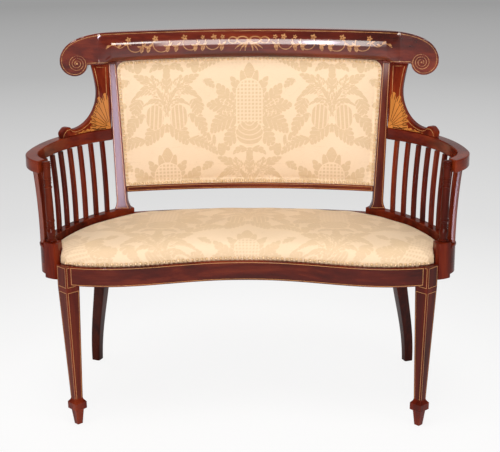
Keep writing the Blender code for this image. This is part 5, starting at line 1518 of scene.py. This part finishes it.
def buildStraps(name, node, straps):
    # Several straps in one mesh, each with a map of its own width and length
    points, faces, maps, start = [], [], [], 0
    wide = np.array([-1, 0, 1, 1, 0, -1]) * seat["webWide"] / 2
    for rings in straps:
        rows, cols = rings.shape[:2]
        points.append(rings.reshape(-1, 3))
        faces += (gridQuads(rows, cols) + start).tolist()
        faces.append([start + k for k in range(cols)][::-1])
        faces.append([start + (rows - 1) * cols + k for k in range(cols)])
        run = runAlong(rings[:, 1])[:, None]
        maps.append(np.stack(np.broadcast_arrays(wide, run), -1).reshape(-1, 2))
        start += rows * cols
    addPiece(name, node, np.concatenate(points), faces, webbingCloth, "webbing", uv=np.concatenate(maps),
             sharp=50)


def seatBackY(x, inset):  # inner line of the frame behind the seat: the back rail, then the side arc
    if abs(x) <= seat["joinX"]:
        return backRailY(x) - seat["backThick"] / 2 - inset
    reach = plan["sideRadius"] - plan["sideThick"] - inset
    return sideY + math.sqrt(max(0.0, reach ** 2 - (abs(x) - sideX) ** 2))


def buildSeatWebbing():
    # Straps pass over and under each other by a cosine of the strap they cross
    half, inset, weave = seat["webWide"] / 2, under["inset"], under["weave"]
    low = seatLevel + plan["clear"] + under["thick"] / 2
    pitch = 2 * seat["joinX"] / under["columns"]
    rowsY = [cornerY + seat["webWide"] * 0.2 + under["rowPitch"] * i for i in range(under["rows"])]
    reach = plan["sideRadius"] - plan["sideThick"] - inset
    straps = []
    for i, y in enumerate(rowsY):
        near = min(sideX + math.sqrt(reach ** 2 - (edge - sideY) ** 2) for edge in (y - half, y + half))
        x = np.linspace(-near, near, 140)
        wave = np.cos(math.pi * (x / pitch + i)) * (np.abs(x) < seat["joinX"] - 0.01)
        z = low + weave / 2 + np.minimum(wave * weave, under["proud"])
        z = np.maximum(z, np.where(np.abs(x) > near - 0.02, low, 0))
        centre = np.stack([x, np.full_like(x, y), z], -1)
        straps.append(strapRings(centre, (0, 1, 0), (0, 0, 1), half, under["thick"]))
    for i in range(under["columns"]):
        x = pitch * (i - (under["columns"] - 1) / 2)
        edges = (x - half * 0.8, x + half * 0.8)
        start = max(float(frontPoint(e, plan["ledge"] + inset)[1]) for e in edges)
        end = min(seatBackY(e, inset) for e in edges)
        y = np.linspace(start, end, 90)
        wave = -np.cos(math.pi * ((y - rowsY[0]) / under["rowPitch"] + i + 1))
        inSpan = (y > start + 0.03) & (y < end - 0.03)
        z = low + weave / 2 + np.minimum(wave * weave * inSpan, under["proud"])
        centre = np.stack([np.full_like(y, x), y, z], -1)
        straps.append(strapRings(centre, (1, 0, 0), (0, 0, 1), half * 0.8, under["thick"]))
    buildStraps("seatWebbing", "seat_webbing", straps)


def buildSeatHessian():
    # The seat's outline shrunk to its middle in steps, its corners folded in beside the legs
    loopX, loopY = seatLoop(260)
    middle = (loopY[0] + loopY.max()) / 2
    share = np.array([0.02, 0.25, 0.5, 0.75, 0.93, 0.981])[:, None]
    x, y = loopX * share, middle + (loopY - middle) * share
    z = np.full_like(x, seatLevel + seat["web"] + 2 * plan["clear"])
    x, y = clearOfFrame(x, y, z, 0.0)[:2]
    dx, dy = np.abs(x) - plan["legX"], y - plan["legY"]
    half = plan["legSize"] / 2 + 0.0012
    depth = np.clip(half * math.sqrt(2) - (-dx + dy), 0, None) * (np.abs(dx) + np.abs(dy) < half * 1.5)
    x = x - np.sign(x) * depth * 0.5
    y = y + depth * 0.5
    upper = np.stack([x, y, z + seat["cloth"] * 0.9], -1)[::-1]
    rings = np.concatenate([np.stack([x, y, z], -1), upper])
    uv = np.concatenate([rings[..., :2].reshape(-1, 2), [[0, middle], [0, middle]]])
    canvas = addTube("seatHessian", "seat_hessian", rings, hessianCloth, None, "hessian", uv=uv, sharp=60)


def hugBack(rings, centre):
    # Moves every point back or forth by the back's own curve beside the strap's middle
    rings[..., 1] += backY(rings[..., 0], rings[..., 2]) - backY(centre[:, 0], centre[:, 2])[:, None]
    return rings


def buildBackWebbing():
    # Straps across, then straps up, laid on the back's curve behind the hessian
    level = back["rear"] + seat["cloth"] + 2 * plan["clear"] + seat["web"] * 0.5
    straps = []
    for v in under["backRows"]:
        u = np.linspace(-1, 1, 90)
        x, z = backPlace(u, np.full_like(u, v), 0.001)
        wave = np.cos(math.pi * (u / 0.4 + 0.5)) * 0.0001
        straps.append((np.stack([x, backY(x, z) + level + wave, z], -1), (0, 0, 1), 0.4))
    for u in under["backColumns"]:
        v = np.linspace(0, 1, 40)
        x, z = backPlace(np.full_like(v, u), v, 0.001)
        straps.append((np.stack([x, backY(x, z) + level, z], -1), (1, 0, 0), 0.9))
    straps = [hugBack(strapRings(centre, across, (0, 1, 0), seat["webWide"] * 0.4, seat["web"] * thick),
                      centre) for centre, across, thick in straps]
    buildStraps("backWebbing", "back_webbing", straps)


buildSeatWebbing()
buildSeatHessian()
buildBackWebbing()
for place in ("front", "back"):
    for side, word in sides:
        softCopy("glueBlock_%s_%s" % (place, word), "glue_block_%s_%s" % (place, word), planedBeech,
                 0.0008)
        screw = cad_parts["screw_%s_%s" % (place, word)]
        for holder in screw.material_slots:
            holder.material = dullSteel
print("underside built")

# Camera, light and floor

view = {"distance": 2.545, "height": 1.216, "aimY": 0.25, "pitch": 0.275, "yaw": 0.028, "roll": -0.008,
        "focal": 1124.8, "middleX": 249.0, "middleY": 231.3, "wide": 500, "high": 452}


def placeCamera():
    # Orbit about the middle of the seat, then pitch down and a touch of roll
    yaw, pitch, roll = view["yaw"], view["pitch"], view["roll"]
    reach = view["distance"] + view["aimY"]
    placeY = view["aimY"] + planShift - math.cos(yaw) * reach
    place = Vector((math.sin(yaw) * reach, placeY, view["height"]))
    ahead = Vector((-math.sin(yaw) * math.cos(pitch), math.cos(yaw) * math.cos(pitch), -math.sin(pitch)))
    right = Vector((math.cos(yaw), math.sin(yaw), 0))
    up = right.cross(ahead)
    tilted = right * math.cos(roll) + up * math.sin(roll)
    upright = up * math.cos(roll) - right * math.sin(roll)
    camera = bpy.data.cameras.new("camera")
    camera.sensor_width = 36
    camera.lens = view["focal"] * 36 / view["wide"]
    camera.shift_x = (view["wide"] / 2 - view["middleX"]) / view["wide"]
    camera.shift_y = (view["middleY"] - view["high"] / 2) / view["wide"]
    holder = bpy.data.objects.new("camera", camera)
    bpy.context.collection.objects.link(holder)
    holder.matrix_world = Matrix(((tilted.x, upright.x, -ahead.x, place.x),
                                  (tilted.y, upright.y, -ahead.y, place.y),
                                  (tilted.z, upright.z, -ahead.z, place.z), (0, 0, 0, 1)))
    bpy.context.scene.camera = holder


lamps = {
    "key": {"at": (-0.4, -1.0, 3.4), "size": (2.6, 1.8), "power": 60, "tint": (1.0, 0.97, 0.94),
            "mirrored": False},
    "fill": {"at": (2.3, -2.0, 1.9), "size": (1.2, 1.2), "power": 10, "tint": (1.0, 0.97, 0.95)},
    "front": {"at": (-0.22, -3.3, 0.93), "size": (1.52, 1.15), "power": 47, "tint": (1.0, 0.95, 0.90)},
    "side": {"at": (0.70, -3.3, 1.26), "size": (0.32, 0.32), "power": 5.5, "tint": (1.0, 0.95, 0.90)},
    "window": {"at": (-1.37, -6.87, 0.84), "size": (0.40, 1.25), "power": 60, "tint": (0.80, 0.73, 1.0)},
}
backdrop = {"radius": 30.0, "glow": 0.86, "world": 0.17, "behind": 0.6}


def addLamp(name, facts):
    lamp = bpy.data.lights.new(name, 'AREA')
    lamp.shape = 'RECTANGLE'
    lamp.size, lamp.size_y = facts["size"]
    lamp.energy = facts["power"]
    lamp.color = facts["tint"]
    holder = bpy.data.objects.new(name, lamp)
    bpy.context.collection.objects.link(holder)
    holder.location = facts["at"]
    aim = Vector((0, 0, 0.6)) - Vector(facts["at"])
    holder.rotation_euler = aim.to_track_quat('-Z', 'Y').to_euler()
    holder.visible_camera = False
    holder.visible_glossy = facts.get("mirrored", True)


def buildStage():
    # A wide disc whose tone darkens with distance, and a world that is brighter behind the settee
    count = 96
    angle = np.linspace(0, math.tau, count, endpoint=False)
    points = np.stack([backdrop["radius"] * np.cos(angle), backdrop["radius"] * np.sin(angle),
                       np.full(count, -0.0002)], -1)
    mesh = bpy.data.meshes.new("floor")
    mesh.from_pydata(points.tolist(), [], [list(range(count))])
    floor = bpy.data.objects.new("floor", mesh)
    bpy.context.collection.objects.link(floor)
    material, tree, shader, place = startMaterial("paleFloor")
    length = tree.nodes.new('ShaderNodeVectorMath')
    length.operation = 'LENGTH'
    tree.links.new(place, length.inputs[0])
    ramp = tree.nodes.new('ShaderNodeValToRGB')
    tree.links.new(addMath(tree, 'DIVIDE', length.outputs["Value"], 14.0), ramp.inputs[0])
    tones = ((0.045, 1.0), (0.136, 0.80), (0.45, 0.51), (0.96, 0.36))
    while len(ramp.color_ramp.elements) < len(tones):
        ramp.color_ramp.elements.new(0.5)
    for element, (position, tone) in zip(ramp.color_ramp.elements, tones):
        element.position = position
        element.color = (tone, tone, tone, 1)
    glow = tree.nodes.new('ShaderNodeEmission')
    tree.links.new(ramp.outputs[0], glow.inputs["Color"])
    tree.links.new(ramp.outputs[0], shader.inputs["Base Color"])
    shader.inputs["Roughness"].default_value = 0.7
    path = tree.nodes.new('ShaderNodeLightPath')
    straight = addMath(tree, 'MAXIMUM', path.outputs["Is Camera Ray"], path.outputs["Is Glossy Ray"])
    straight = addMath(tree, 'MAXIMUM', straight, path.outputs["Is Transmission Ray"])
    seen = addMath(tree, 'MULTIPLY', straight, backdrop["glow"])
    mix = tree.nodes.new('ShaderNodeMixShader')
    tree.links.new(seen, mix.inputs[0])
    tree.links.new(shader.outputs[0], mix.inputs[1])
    tree.links.new(glow.outputs[0], mix.inputs[2])
    tree.links.new(mix.outputs[0], tree.nodes["Material Output"].inputs["Surface"])
    mesh.materials.append(material)
    world = bpy.data.worlds.new("studio")
    world.use_nodes = True
    tree = world.node_tree
    split = tree.nodes.new('ShaderNodeSeparateXYZ')
    tree.links.new(tree.nodes.new('ShaderNodeTexCoord').outputs["Generated"], split.inputs[0])
    behind = addRange(tree, split.outputs[1], 0.1, 0.8, backdrop["world"], backdrop["behind"])
    tree.links.new(behind, tree.nodes["Background"].inputs["Strength"])
    tree.nodes["Background"].inputs["Color"].default_value = (1.0, 0.98, 0.97, 1)
    bpy.context.scene.world = world
    for name, facts in lamps.items():
        addLamp(name, facts)


placeCamera()
buildStage()
bpy.context.scene.view_settings.view_transform = 'Standard'

print("stage set")
